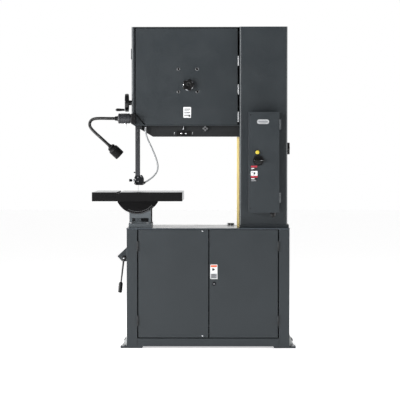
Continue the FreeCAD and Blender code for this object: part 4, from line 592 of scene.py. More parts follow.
class Effects:
    """Shader node groups that several finishes share, each built once."""

    def __init__(self) -> None:
        """Builds every group."""
        self.coat = self._coat()
        self.dust = self._dust()
        self.wear = self._wear()
        self.brush = self._brush()
        self.pebble = self._pebble()

    @staticmethod
    def _open(name: str, takes: Sequence[tuple[str, str]], gives: Sequence[tuple[str, str]]) -> tuple:
        """Starts a group with named sockets.

        Args:
            name: The group's name.
            takes: Names and kinds of its inputs.
            gives: Names and kinds of its outputs.

        Returns:
            The group, its wiring, its input node and its output node.
        """
        tree = bpy.data.node_groups.new(name, "ShaderNodeTree")
        for title, kind in takes:
            tree.interface.new_socket(title, in_out="INPUT", socket_type=f"NodeSocket{kind}")
        for title, kind in gives:
            tree.interface.new_socket(title, in_out="OUTPUT", socket_type=f"NodeSocket{kind}")
        wiring = Wiring(tree)
        return tree, wiring, wiring.add("NodeGroupInput").outputs, wiring.add("NodeGroupOutput").inputs

    def _coat(self) -> bpy.types.NodeTree:
        """Sprayed coat: fine orange peel, slow drift in tone, small change in gloss."""
        tree, w, takes, gives = self._open(
            "sprayed_coat",
            [("Vector", "Vector"), ("Tone", "Color"), ("Grain", "Float"), ("Drift", "Float")],
            [("Tone", "Color"), ("Relief", "Float"), ("Gloss", "Float")])
        peel = w.noise(takes["Vector"], takes["Grain"], 2.0, 0.5)
        slow = w.ramp(w.noise(takes["Vector"], 2.3, 3.0, 0.6), 0.25, 0.75, -1.0, 1.0)
        fine = w.ramp(w.noise(takes["Vector"], 190.0, 2.0, 0.6), 0.2, 0.8, -0.5, 0.5)
        drift = w.maths("MULTIPLY", w.maths("ADD", slow, fine), takes["Drift"])
        factor = w.maths("ADD", 1.0, drift)
        scale = w.add("ShaderNodeVectorMath", operation="SCALE")
        w.feed(scale.inputs[0], takes["Tone"])
        w.feed(scale.inputs["Scale"], factor)
        w.feed(gives["Tone"], scale.outputs[0])
        w.feed(gives["Relief"], peel)
        w.feed(gives["Gloss"], w.ramp(w.noise(takes["Vector"], 9.0, 4.0, 0.65), 0.3, 0.7, -0.05, 0.06))
        return tree

    def _dust(self) -> bpy.types.NodeTree:
        """Dust that settles on upward faces, thicker in patches."""
        tree, w, takes, gives = self._open(
            "settled_dust", [("Vector", "Vector"), ("Normal", "Vector"), ("Amount", "Float")],
            [("Mask", "Float")])
        split = w.add("ShaderNodeSeparateXYZ")
        w.feed(split.inputs[0], takes["Normal"])
        up = w.ramp(split.outputs["Z"], 0.35, 0.95)
        patch = w.ramp(w.noise(takes["Vector"], 14.0, 5.0, 0.7), 0.35, 0.75, 0.35, 1.0)
        w.feed(gives["Mask"], w.maths("MULTIPLY", w.maths("MULTIPLY", up, patch), takes["Amount"], True))
        return tree

    def _wear(self) -> bpy.types.NodeTree:
        """Small chips and hair scratches scattered over a surface."""
        tree, w, takes, gives = self._open(
            "chips_and_scratches", [("Vector", "Vector"), ("Amount", "Float")], [("Mask", "Float")])
        chips = w.ramp(w.noise(takes["Vector"], 55.0, 5.0, 0.72), 0.715, 0.745)
        scratches = None
        for stretch in ((30.0, 260.0, 900.0), (800.0, 240.0, 26.0)):
            line = w.ramp(w.noise(w.scaled(takes["Vector"], stretch), 1.0, 2.0, 0.5), 0.745, 0.775)
            scratches = line if scratches is None else w.maths("MAXIMUM", scratches, line)
        both = w.maths("MAXIMUM", chips, w.maths("MULTIPLY", scratches, 0.6))
        w.feed(gives["Mask"], w.maths("MULTIPLY", both, takes["Amount"], True))
        return tree

    def _brush(self) -> bpy.types.NodeTree:
        """Fine machining lines, with broader streaks over them."""
        tree, w, takes, gives = self._open(
            "machining_lines", [("Vector", "Vector")], [("Lines", "Float"), ("Streaks", "Float")])
        w.feed(gives["Lines"], w.noise(takes["Vector"], 1.0, 3.0, 0.6))
        w.feed(gives["Streaks"], w.noise(takes["Vector"], 0.09, 4.0, 0.65))
        return tree

    def _pebble(self) -> bpy.types.NodeTree:
        """Cast skin: soft lumps with sandy grain on them."""
        tree, w, takes, gives = self._open(
            "cast_skin", [("Vector", "Vector"), ("Grain", "Float")], [("Relief", "Float"), ("Pits", "Float")])
        lumps = w.noise(takes["Vector"], takes["Grain"], 4.0, 0.65)
        cells = w.add("ShaderNodeTexVoronoi", feature="SMOOTH_F1")
        w.feed(cells.inputs["Vector"], takes["Vector"])
        w.feed(cells.inputs["Scale"], w.maths("MULTIPLY", takes["Grain"], 2.2))
        w.feed(gives["Relief"], w.maths("ADD", lumps, w.maths("MULTIPLY", cells.outputs["Distance"], 0.5)))
        w.feed(gives["Pits"], w.ramp(lumps, 0.3, 0.42, 1.0, 0.0))
        return tree


@dataclass(frozen=True)
class FinishBase:
    """What every finish has: a name and the record's slot that it stands for."""

    name: str
    slot: str

    def start(self) -> tuple[bpy.types.Material, Wiring, bpy.types.Node, bpy.types.NodeSocket]:
        """Starts a material.

        Returns:
            The material, its wiring, its shader and the object coordinates.
        """
        material = bpy.data.materials.new(self.name)
        material.use_nodes = True
        wiring = Wiring(material.node_tree)
        shader = material.node_tree.nodes["Principled BSDF"]
        place = wiring.add("ShaderNodeTexCoord").outputs["Object"]
        return material, wiring, shader, place

    @staticmethod
    def group(wiring: Wiring, tree: bpy.types.NodeTree, **values: object) -> bpy.types.NodeOutputs:
        """Places a shared group, feeds its inputs and returns its outputs."""
        node = wiring.add("ShaderNodeGroup", node_tree=tree)
        for title, value in values.items():
            wiring.feed(node.inputs[title], value)
        return node.outputs

    @staticmethod
    def bump(wiring: Wiring, shader: bpy.types.Node, height: object, strength: float, depth: float) -> None:
        """Feeds the shader's normal from a height, with depth in mm."""
        node = wiring.add("ShaderNodeBump")
        node.inputs["Strength"].default_value = strength
        node.inputs["Distance"].default_value = depth * MM
        wiring.feed(node.inputs["Height"], height)
        wiring.feed(shader.inputs["Normal"], node.outputs["Normal"])


@dataclass(frozen=True)
class SprayFinish(FinishBase):
    """Sprayed or powder-coated paint on sheet metal."""

    tone: Colour
    under: Colour
    roughness: float = 0.42
    grain: float = 620.0
    drift: float = 0.07
    peel: float = 0.10
    dust: float = 0.05
    wear: float = 0.5
    shine: float = 0.5

    def build(self, effects: Effects) -> bpy.types.Material:
        """Makes the material."""
        material, w, shader, place = self.start()
        coat = self.group(w, effects.coat, Vector=place, Tone=self.tone, Grain=self.grain, Drift=self.drift)
        normal = w.add("ShaderNodeNewGeometry").outputs["Normal"]
        dust = self.group(w, effects.dust, Vector=place, Normal=normal, Amount=self.dust)
        chips = self.group(w, effects.wear, Vector=place, Amount=self.wear)
        worn = w.mix(chips["Mask"], coat["Tone"], self.under)
        w.feed(shader.inputs["Base Color"], w.mix(dust["Mask"], worn, tint(150, 148, 142)))
        gloss = w.maths("ADD", coat["Gloss"], self.roughness)
        w.feed(shader.inputs["Roughness"],
               w.maths("ADD", gloss, w.maths("MULTIPLY", dust["Mask"], 0.5), True))
        height = w.maths("SUBTRACT", coat["Relief"], w.maths("MULTIPLY", chips["Mask"], 0.8))
        shader.inputs["Specular IOR Level"].default_value = self.shine
        self.bump(w, shader, height, 0.5, self.peel)
        return material


@dataclass(frozen=True)
class CastFinish(FinishBase):
    """Casting: painted or bare, with a sandy skin and rubbed high spots."""

    tone: Colour
    pit: Colour
    roughness: float = 0.5
    grain: float = 260.0
    depth: float = 0.35
    metal: float = 0.0
    dust: float = 0.08
    shine: float = 0.5

    def build(self, effects: Effects) -> bpy.types.Material:
        """Makes the material."""
        material, w, shader, place = self.start()
        skin = self.group(w, effects.pebble, Vector=place, Grain=self.grain)
        coat = self.group(w, effects.coat, Vector=place, Tone=self.tone, Grain=self.grain * 2, Drift=0.10)
        normal = w.add("ShaderNodeNewGeometry").outputs["Normal"]
        dust = self.group(w, effects.dust, Vector=place, Normal=normal, Amount=self.dust)
        toned = w.mix(w.maths("MULTIPLY", skin["Pits"], 0.7), coat["Tone"], self.pit)
        w.feed(shader.inputs["Base Color"], w.mix(dust["Mask"], toned, tint(140, 138, 132)))
        w.feed(shader.inputs["Roughness"], w.maths("ADD", coat["Gloss"], self.roughness, True))
        shader.inputs["Metallic"].default_value = self.metal
        shader.inputs["Specular IOR Level"].default_value = self.shine
        self.bump(w, shader, skin["Relief"], 0.55, self.depth)
        return material


@dataclass(frozen=True)
class MachinedFinish(FinishBase):
    """Bare or plated metal with machining lines in one direction."""

    tone: Colour
    roughness: float = 0.28
    lines: Point = (1500.0, 40.0, 1500.0)
    stain: float = 0.18
    depth: float = 0.03

    def build(self, effects: Effects) -> bpy.types.Material:
        """Makes the material."""
        material, w, shader, place = self.start()
        cuts = self.group(w, effects.brush, Vector=w.scaled(place, self.lines))
        shade = w.ramp(cuts["Lines"], 0.3, 0.7, 1.0 - self.stain, 1.0)
        patch = w.ramp(w.noise(place, 22.0, 5.0, 0.7), 0.45, 0.8, 0.0, self.stain)
        dark = tuple(channel * 0.35 for channel in self.tone[:3]) + (1.0,)
        scale = w.add("ShaderNodeVectorMath", operation="SCALE")
        w.feed(scale.inputs[0], self.tone[:3])
        w.feed(scale.inputs["Scale"], shade)
        w.feed(shader.inputs["Base Color"], w.mix(patch, scale.outputs[0], dark))
        shader.inputs["Metallic"].default_value = 1.0
        rough = w.maths("ADD", w.ramp(cuts["Streaks"], 0.3, 0.7, -0.07, 0.09), self.roughness)
        w.feed(shader.inputs["Roughness"], w.maths("ADD", rough, w.maths("MULTIPLY", patch, 0.6), True))
        self.bump(w, shader, cuts["Lines"], 0.35, self.depth)
        return material


@dataclass(frozen=True)
class MouldedFinish(FinishBase):
    """Moulded plastic or rubber with a fine spark-eroded texture."""

    tone: Colour
    roughness: float = 0.4
    grain: float = 900.0
    depth: float = 0.05
    rub: float = 0.35
    shine: float = 0.4

    def build(self, effects: Effects) -> bpy.types.Material:
        """Makes the material."""
        material, w, shader, place = self.start()
        coat = self.group(w, effects.coat, Vector=place, Tone=self.tone, Grain=self.grain, Drift=0.08)
        skin = self.group(w, effects.pebble, Vector=place, Grain=self.grain)
        rubbed = w.ramp(w.noise(place, 38.0, 4.0, 0.7), 0.5, 0.8, 0.0, self.rub)
        pale = tuple(min(1.0, channel * 1.7 + 0.012) for channel in self.tone[:3]) + (1.0,)
        w.feed(shader.inputs["Base Color"], w.mix(rubbed, coat["Tone"], pale))
        rough = w.maths("ADD", coat["Gloss"], self.roughness)
        w.feed(shader.inputs["Roughness"],
               w.maths("SUBTRACT", rough, w.maths("MULTIPLY", rubbed, 0.25), True))
        shader.inputs["Specular IOR Level"].default_value = self.shine
        self.bump(w, shader, skin["Relief"], 0.4, self.depth)
        return material


@dataclass(frozen=True)
class ClearFinish(FinishBase):
    """Clear or tinted glass and lens plastic."""

    tone: Colour
    roughness: float = 0.06
    through: float = 0.9
    lit: float = 0.0

    def build(self, effects: Effects) -> bpy.types.Material:
        """Makes the material."""
        material, w, shader, place = self.start()
        coat = self.group(w, effects.coat, Vector=place, Tone=self.tone, Grain=160.0, Drift=0.04)
        w.feed(shader.inputs["Base Color"], coat["Tone"])
        smear = w.ramp(w.noise(place, 60.0, 4.0, 0.7), 0.45, 0.8, self.roughness, self.roughness + 0.16)
        w.feed(shader.inputs["Roughness"], smear)
        shader.inputs["Transmission Weight"].default_value = self.through
        shader.inputs["IOR"].default_value = 1.48
        if self.lit:
            w.feed(shader.inputs["Emission Color"], coat["Tone"])
            shader.inputs["Emission Strength"].default_value = self.lit
        self.bump(w, shader, coat["Relief"], 0.2, 0.06)
        return material


@dataclass(frozen=True)
class FilmFinish(FinishBase):
    """Printed film or plate: one printed colour under a satin face, with small scuffs."""

    tone: Colour
    roughness: float = 0.35
    metal: float = 0.0

    def build(self, effects: Effects) -> bpy.types.Material:
        """Makes the material."""
        material, w, shader, place = self.start()
        coat = self.group(w, effects.coat, Vector=place, Tone=self.tone, Grain=1400.0, Drift=0.03)
        scuffs = self.group(w, effects.wear, Vector=place, Amount=0.35)
        pale = tuple(channel * 0.6 + 0.15 for channel in self.tone[:3]) + (1.0,)
        w.feed(shader.inputs["Base Color"], w.mix(scuffs["Mask"], coat["Tone"], pale))
        w.feed(shader.inputs["Roughness"], w.maths("ADD", coat["Gloss"], self.roughness, True))
        shader.inputs["Metallic"].default_value = self.metal
        self.bump(w, shader, coat["Relief"], 0.25, 0.03)
        return material


class Finish(Enum):
    """Every finish on the machine."""

    BODY = SprayFinish("body_powder_coat", "body_paint", tint(37, 43, 47), tint(96, 98, 100))
    # Body paint on the cabinet's top plate. It is glossier than BODY, and its lighter tone is a painted
    # sheen.
    TOP = SprayFinish("body_coat_with_painted_sheen", "body_paint", tint(58, 64, 70), tint(120, 122, 124), roughness=0.2,
            peel=0.03, dust=0.0)
    # Near-black paint. On the valve panel and inside the trunnion base it is painted shade, not the parts'
    # own colour.
    DARK = SprayFinish("near_black_paint_and_painted_shade", "dark_paint", tint(24, 26, 28), tint(96, 96, 96), roughness=0.5,
            shine=0.35)
    FOOT = SprayFinish("pale_primer", "foot_grey", tint(196, 198, 198), tint(92, 88, 84), roughness=0.45)
    GUARD = SprayFinish("guard_yellow", "yellow_paint", tint(238, 214, 142), tint(150, 146, 130),
            roughness=0.4)
    CASTING = CastFinish("painted_casting", "cast_grey", tint(84, 90, 94), tint(46, 48, 50))
    IRON = CastFinish("dark_cast_iron", "table_iron", tint(11, 11, 12), tint(5, 5, 5), roughness=0.6,
            shine=0.14,
            grain=320.0, depth=0.25)
    GROUND = MachinedFinish("ground_table_top", "table_iron", tint(176, 178, 180), roughness=0.3,
            lines=(1200.0, 18.0, 1200.0), stain=0.22)
    STEEL = MachinedFinish("turned_steel", "steel", tint(150, 151, 153), roughness=0.34)
    POST = MachinedFinish("oiled_post_steel", "steel", tint(84, 85, 88), roughness=0.42,
            lines=(1400.0, 1400.0, 16.0),
            stain=0.3)
    BLADE = MachinedFinish("blade_steel", "steel", tint(172, 176, 180), roughness=0.3,
            lines=(900.0, 1400.0, 14.0))
    DARK_STEEL = MachinedFinish("blackened_steel", "steel", tint(52, 53, 56), roughness=0.45, stain=0.3)
    CHROME = MachinedFinish("plated_chrome", "chrome", tint(216, 218, 222), roughness=0.12, stain=0.06,
            depth=0.01)
    BLACK = MouldedFinish("black_moulding", "black_plastic", tint(12, 12, 13), roughness=0.4, rub=0.2,
            shine=0.25)
    GLOSS = MouldedFinish("glossy_black", "black_gloss", tint(9, 9, 10), roughness=0.24, depth=0.03,
            rub=0.1, shine=0.45)
    LAMP_GREY = SprayFinish("lamp_grey", "dark_paint", tint(44, 45, 48), tint(120, 120, 120), roughness=0.34,
            drift=0.04, dust=0.02, wear=0.25)
    YELLOW = MouldedFinish("yellow_moulding", "yellow_plastic", tint(206, 186, 66), roughness=0.3, rub=0.1)
    RUBBER = MouldedFinish("vulcanised_rubber", "rubber_black", tint(24, 24, 24), roughness=0.75, depth=0.12)
    HOSE = MouldedFinish("pale_hose", "hose_grey", tint(142, 144, 146), roughness=0.5, rub=0.15)
    GLASS = ClearFinish("lamp_glass", "glass", tint(236, 240, 242))
    BULB = ClearFinish("led_face", "glass", tint(244, 240, 216), through=0.0, lit=0.3)
    MOTOR = CastFinish("motor_housing", "motor_grey", tint(112, 118, 122), tint(60, 62, 64), grain=200.0)
    WHITE = FilmFinish("white_print", "body_paint", tint(232, 233, 234))
    GREY = FilmFinish("grey_print", "body_paint", tint(140, 142, 146))
    ORANGE = FilmFinish("orange_print", "body_paint", tint(216, 92, 52))
    RED = FilmFinish("red_print", "body_paint", tint(176, 44, 60))
    INK = FilmFinish("black_print", "body_paint", tint(34, 34, 36))
    SILVER = FilmFinish("silver_plate", "chrome", tint(206, 208, 210), roughness=0.32, metal=0.6)


class Palette:
    """Builds each finish's material once."""

    def __init__(self) -> None:
        """Builds the shared effects."""
        self.effects = Effects()
        self.made: dict[Finish, bpy.types.Material] = {}

    def of(self, finish: Finish) -> bpy.types.Material:
        """The finish's material."""
        if finish not in self.made:
            self.made[finish] = finish.value.build(self.effects)
        return self.made[finish]

    def dress(self, piece: bpy.types.Object, finish: Finish) -> bpy.types.Object:
        """Gives a whole piece one finish."""
        piece.data.materials.clear()
        piece.data.materials.append(self.of(finish))
        for face in piece.data.polygons:
            face.material_index = 0
        return piece

    def dress_faces(self, piece: bpy.types.Object, finish: Finish,
            wanted: Callable[[Vector, Vector], bool]) -> None:
        """Gives some of a piece's faces a second finish.

        Args:
            piece: The object.
            finish: The finish for those faces.
            wanted: Test of a face's normal and its middle in metres.
        """
        piece.data.materials.append(self.of(finish))
        index = len(piece.data.materials) - 1
        for face in piece.data.polygons:
            if wanted(face.normal, face.center):
                face.material_index = index


@dataclass
class Assembly:
    """A sub-assembly: it shares the palette and knows how to fit pieces to bodies."""

    palette: Palette

    def fit(self, piece: bpy.types.Object, body: str, finish: Finish | None = None,
            replaces: Sequence[str] = ()) -> bpy.types.Object:
        """Dresses a piece, rides it on a body and reports it.

        Args:
            piece: The finished object.
            body: The body that it moves with.
            finish: Its finish, or None where its faces have theirs already.
            replaces: Nodes that it stands for.

        Returns:
            The same object.
        """
        if finish is not None:
            self.palette.dress(piece, finish)
        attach(piece, body)
        if replaces:
            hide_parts(*replaces)
        LOG.info("%s on %s", piece.name, body)
        return piece

    def stack(self, name: str, parts: Sequence[tuple[bpy.types.Object, Finish]]) -> bpy.types.Object:
        """Joins differently finished parts into one piece.

        Args:
            name: The joined piece's name.
            parts: Objects with their finishes.

        Returns:
            The joined object.
        """
        for piece, finish in parts:
            self.palette.dress(piece, finish)
        whole = merge(*[piece for piece, _ in parts])
        whole.name = name
        whole.data.name = name
        return whole


# ---------------------------------------------------------------- body work carried over from the frame
@dataclass(frozen=True)
class Refit:
    """How one of the frame's nodes is finished: its rounding and its finish."""

    finish: Finish
    edge: float
    segments: int = 2


REFITS: dict[str, Refit] = {
    "foot_brackets": Refit(Finish.BODY, 1.2),
    "machine_bolts": Refit(Finish.STEEL, 0.8),
    "cabinet_frame": Refit(Finish.BODY, 1.6),
    # The top plate takes the lighter TOP finish: body paint with a painted sheen.
    "cabinet_top_plate": Refit(Finish.TOP, 1.5),
    "cabinet_panels": Refit(Finish.BODY, 0.6),
    "wheel_bulkhead": Refit(Finish.BODY, 0.8),
    "lower_bearing_housing": Refit(Finish.CASTING, 1.5),
    "drive_motor": Refit(Finish.MOTOR, 0.8),
    "driven_pulley": Refit(Finish.STEEL, 0.5),
    "motor_pulley": Refit(Finish.STEEL, 0.5),
    "lower_wheel": Refit(Finish.CASTING, 1.5),
    "upper_wheel": Refit(Finish.CASTING, 1.5),
    "slide_rails": Refit(Finish.STEEL, 0.8),
    "upper_wheel_slide": Refit(Finish.CASTING, 1.2),
    "tension_screw": Refit(Finish.STEEL, 0.6),
    "column": Refit(Finish.BODY, 1.0),
    "head_shell": Refit(Finish.BODY, 1.2),
    # The set-back valve panel is near-black as painted shade under the head door's sill.
    "valve_panel": Refit(Finish.DARK, 0.6),
    "drive_belt": Refit(Finish.RUBBER, 0.6),
    "lower_tyre": Refit(Finish.RUBBER, 1.2),
    "upper_tyre": Refit(Finish.RUBBER, 1.2),
    "head_door": Refit(Finish.BODY, 1.2),
    "left_door": Refit(Finish.BODY, 1.2),
    "right_door": Refit(Finish.BODY, 1.2),
    "door_hardware": Refit(Finish.BODY, 0.4),
    "return_guard": Refit(Finish.GUARD, 0.8),
    "post_housing": Refit(Finish.DARK, 2.0),
    "guide_post": Refit(Finish.POST, 0.6),
    "guide_inserts": Refit(Finish.STEEL, 0.3),
    "backup_bearing": Refit(Finish.CHROME, 0.5),
    "table_top": Refit(Finish.IRON, 1.5),
    "table_insert": Refit(Finish.STEEL, 0.4),
    "trunnion_segments": Refit(Finish.IRON, 1.5),
    "trunnion_base": Refit(Finish.CASTING, 1.8),
    "lower_guide": Refit(Finish.CASTING, 1.0),
    "electrical_box": Refit(Finish.BODY, 0.8),
    "control_door": Refit(Finish.BODY, 3.0, 4),
    "gear_housing": Refit(Finish.BODY, 2.0),
}


@dataclass
class BodyWork(Assembly):
    """Sheet metal, castings and machined parts whose shapes come from the frame.

    The corner's radius is in mm; the limits that pick faces for a second finish are in metres.
    """

    corner: float = 13.0
    ground_skin: float = 0.0015
    foot_skin: float = 0.0125
    hub_face_r: float = 0.05
    head_hinge_z: float = 1.45
    head_hinge_x: Spot = (0.15, 0.25)
    box_hinge_x: float = 0.3
    cabinet_hinge_top: float = 0.75
    door_hinge_w: float = 0.0075
    trunnion_wall_y: float = 0.0265
    trunnion_side: float = 0.006
    head_hinge_w: float = 0.0095
    rack_depth: float = 0.0028

    def body_of(self, node: str) -> str:
        """The body that a node belongs to."""
        return frame["nodes"][node]["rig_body"]

    def copy_node(self, node: str) -> bpy.types.Object:
        """Makes a clean, merged copy of a node's mesh as a new object."""
        mesh = frame["nodes"][node].data.copy()
        mesh.name = f"{node}_finished"
        piece = bpy.data.objects.new(mesh.name, mesh)
        bpy.context.collection.objects.link(piece)
        start_edit(piece)
        bpy.ops.mesh.remove_doubles(threshold=1e-5)
        bpy.ops.mesh.dissolve_limited(angle_limit=math.radians(0.6))
        end_edit()
        if mesh.has_custom_normals:
            select_only(piece)
            bpy.ops.mesh.customdata_custom_splitnormals_clear()
        return piece

    def round_upright(self, piece: bpy.types.Object, x: float, y: float, low: float) -> None:
        """Gives an upright corner of a piece its large folded radius.

        Args:
            piece: The object.
            x: The corner's X, mm.
            y: The corner's Y, mm.
            low: Only edges above this height are rounded, mm.
        """
        start_edit(piece)

        def on_corner(a: Vector, b: Vector) -> bool:
            """Whether an edge lies on the corner and runs upright."""
            near = all(abs(p.x - x * MM) < 5e-4 and abs(p.y - y * MM) < 5e-4 for p in (a, b))
            return near and min(a.z, b.z) > low * MM and abs(a.z - b.z) > 0.02
        if select_edges(piece, on_corner):
            bpy.ops.mesh.bevel(offset=self.corner * MM, segments=6, affect="EDGES", clamp_overlap=True)
        end_edit()

    def build(self) -> None:
        """Finishes every carried-over node."""
        for node, plan in REFITS.items():
            piece = self.copy_node(node)
            if node == "head_shell":
                low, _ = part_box(node)
                self.round_upright(piece, low.x / MM, low.y / MM, 1450.0)
            apply_modifier(piece, "BEVEL", width=plan.edge * MM, segments=plan.segments, limit_method="ANGLE",
                    angle_limit=math.radians(34), use_clamp_overlap=True)
            smooth(piece)
            self.palette.dress(piece, plan.finish)
            self.accent(node, piece)
            self.fit(piece, self.body_of(node), replaces=[node])

    def accent(self, node: str, piece: bpy.types.Object) -> None:
        """Adds a second finish to some faces: machined, plated or hinge faces, pale foot faces, and painted
        shade inside the trunnion base.
        """
        low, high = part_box(node)
        dress = self.palette.dress_faces
        middle = (low + high) / 2
        if node == "table_top":
            top, right = high.z - self.ground_skin, high.x - self.ground_skin
            dress(piece, Finish.GROUND, lambda n, c: n.z > 0.5 and c.z > top)
            dress(piece, Finish.GROUND, lambda n, c: n.x > 0.5 and c.x > right)
        elif node == "foot_brackets":
            floor = low.z + self.foot_skin
            dress(piece, Finish.FOOT, lambda n, c: c.z > floor)
        elif node in ("lower_wheel", "upper_wheel"):
            dress(piece, Finish.STEEL, lambda n, c: abs(n.y) > 0.9 and
                  math.hypot(c.x - middle.x, c.z - middle.z) < self.hub_face_r)
        elif node == "door_hardware":
            dress(piece, Finish.STEEL, lambda n, c: c.z > self.head_hinge_z and
                  self.head_hinge_x[0] < c.x < self.head_hinge_x[1])
            dress(piece, Finish.BODY, lambda n, c: c.x > self.box_hinge_x and c.z > self.cabinet_hinge_top)
            dress(piece, Finish.DARK, lambda n, c: c.z < self.cabinet_hinge_top)
        elif node == "left_door":
            hinge = low.x + self.door_hinge_w
            dress(piece, Finish.DARK, lambda n, c: c.x < hinge)
        elif node == "right_door":
            hinge = high.x - self.door_hinge_w
            dress(piece, Finish.DARK, lambda n, c: c.x > hinge)
        elif node == "trunnion_base":
            # Inside the trunnion base, behind its front wall, the faces are near-black: painted shade in the
            # casting's hollow.
            wall = low.y + self.trunnion_wall_y
            half = (high.x - low.x) / 2 - self.trunnion_side
            dress(piece, Finish.DARK, lambda n, c: c.y > wall and abs(c.x - middle.x) < half)
        elif node == "head_door":
            edge = high.x - self.head_hinge_w
            dress(piece, Finish.STEEL, lambda n, c: c.x > edge)
        elif node == "guide_post":
            front = low.y + self.rack_depth
            dress(piece, Finish.STEEL, lambda n, c: c.y < front)


# ---------------------------------------------------------------- cabinet
@dataclass
class CabinetFittings(Assembly):
    """Screws, lock and safety label on the cabinet's doors."""

    door_y: float = -300.0
    screw_x: float = -37.0
    screw_zs: Spot = (782.0, 82.0)
    lock_at: Spot = (39.6, 430.0)
    label: tuple[float, float, float, float] = (15.0, 62.0, 462.0, 558.0)
    post_width: float = 70.0
    rail_zs: Spot = (12.5, 65.0)

    def door_screws(self) -> None:
        """Chrome screws near the left door's free edge."""
        for k, z in enumerate(self.screw_zs):
            head = turned(f"door_screw_{k}", Axis.Y, (self.screw_x, self.door_y, z),
                    domed(5.0, 0.5, -2.4, 1.0, 1.0), 24)
            slot = block("slot", (self.screw_x - 6, self.door_y - 5, z - 0.6),
                    (self.screw_x + 6, self.door_y - 2.6, z + 0.6))
            self.fit(smooth(cut(head, slot)), "left_door", Finish.CHROME)

    def lock(self) -> None:
        """Quarter-turn lock: escutcheon, barrel with a triangular key post, and the cam behind the door."""
        x, z = self.lock_at
        at = (x, self.door_y, z)
        rim = turned("rim", Axis.Y, at, [(8.2, -0.4), (13.5, -0.4), (12.2, -2.4), (9.0, -3.4), (8.2, -3.0)],
                36)
        barrel = turned("barrel", Axis.Y, at, [(0, 22), (8, 22), (8, -1.2), (0, -1.2)], 36)
        turns = [math.radians(a) for a in (90, 210, 330)]
        post = [(x + 5 * math.cos(a), z + 5 * math.sin(a)) for a in turns]
        key = soften(outline_plate("key", Axis.Y, post, self.door_y - 5.0, self.door_y), 0.8)
        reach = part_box("door_lock")[1].x / MM
        cam = soften(block("cam", (x - 9, self.door_y + 14, z - 9), (reach, self.door_y + 18, z + 9)), 1.0)
        lock = self.stack("door_lock_finished",
                [(smooth(rim), Finish.DARK_STEEL), (smooth(barrel), Finish.DARK_STEEL),
                (key, Finish.CHROME), (cam, Finish.STEEL)])
        self.fit(lock, "door_lock", replaces=["door_lock"])

    def safety_label(self) -> None:
        """Film label with an orange header, a white field and a grey field, with plain bars and no words."""
        x0, x1, z0, z1 = self.label
        y = self.door_y
        face = y - 0.7
        parts = [(soften(outline_plate("film", Axis.Y, rounded_outline(x0, x1, z0, z1, 3), face, y + 0.2),
                0.15),
                  Finish.WHITE)]
        fields = [(x0 + 3, x1 - 3, z1 - 17, z1 - 4, Finish.ORANGE),
                  (x0 + 3, x1 - 3, z0 + 3, z0 + 36, Finish.GREY)]
        for u0, u1, v0, v1, finish in fields:
            parts.append((outline_plate("field", Axis.Y, rounded_outline(u0, u1, v0, v1, 1.5), face - 0.25,
                    face), finish))
        mark = lobed_outline(9.5, 3, 0.3, 36)
        parts.append((outline_plate("mark", Axis.Y, moved(mark, (x0 + x1) / 2 - 4, z1 - 33), face - 0.25,
                face), Finish.INK))
        for k in range(4):
            z = z0 + 9 + 7 * k
            bar = rounded_outline(x0 + 8, x1 - 8 - 5 * (k % 2), z - 1.2, z + 1.2, 1.0)
            parts.append((outline_plate("bar", Axis.Y, bar, face - 0.5, face - 0.2), Finish.INK))
        self.fit(self.stack("door_label", parts), "right_door")

    def rail_seams(self) -> None:
        """Upright weld beads where the bottom rails meet the corner posts."""
        low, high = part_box("cabinet_frame")
        for side, x in (("left", low.x / MM + self.post_width), ("right", high.x / MM - self.post_width)):
            bead = [(x - 1.6 + 0.5 * (k % 2), self.rail_zs[0] + 1.9 * k) for k in range(28)]
            bead += [(x + 1.6 - 0.5 * (k % 2), self.rail_zs[0] + 1.9 * k) for k in range(27, -1, -1)]
            seam = outline_plate(f"rail_seam_{side}", Axis.Y, bead, self.door_y - 1.0, self.door_y + 0.4)
            self.fit(soften(seam, 0.3), "frame", Finish.DARK)

    def build(self) -> None:
        """Builds the fittings."""
        self.rail_seams()
        self.door_screws()
        self.lock()
        self.safety_label()


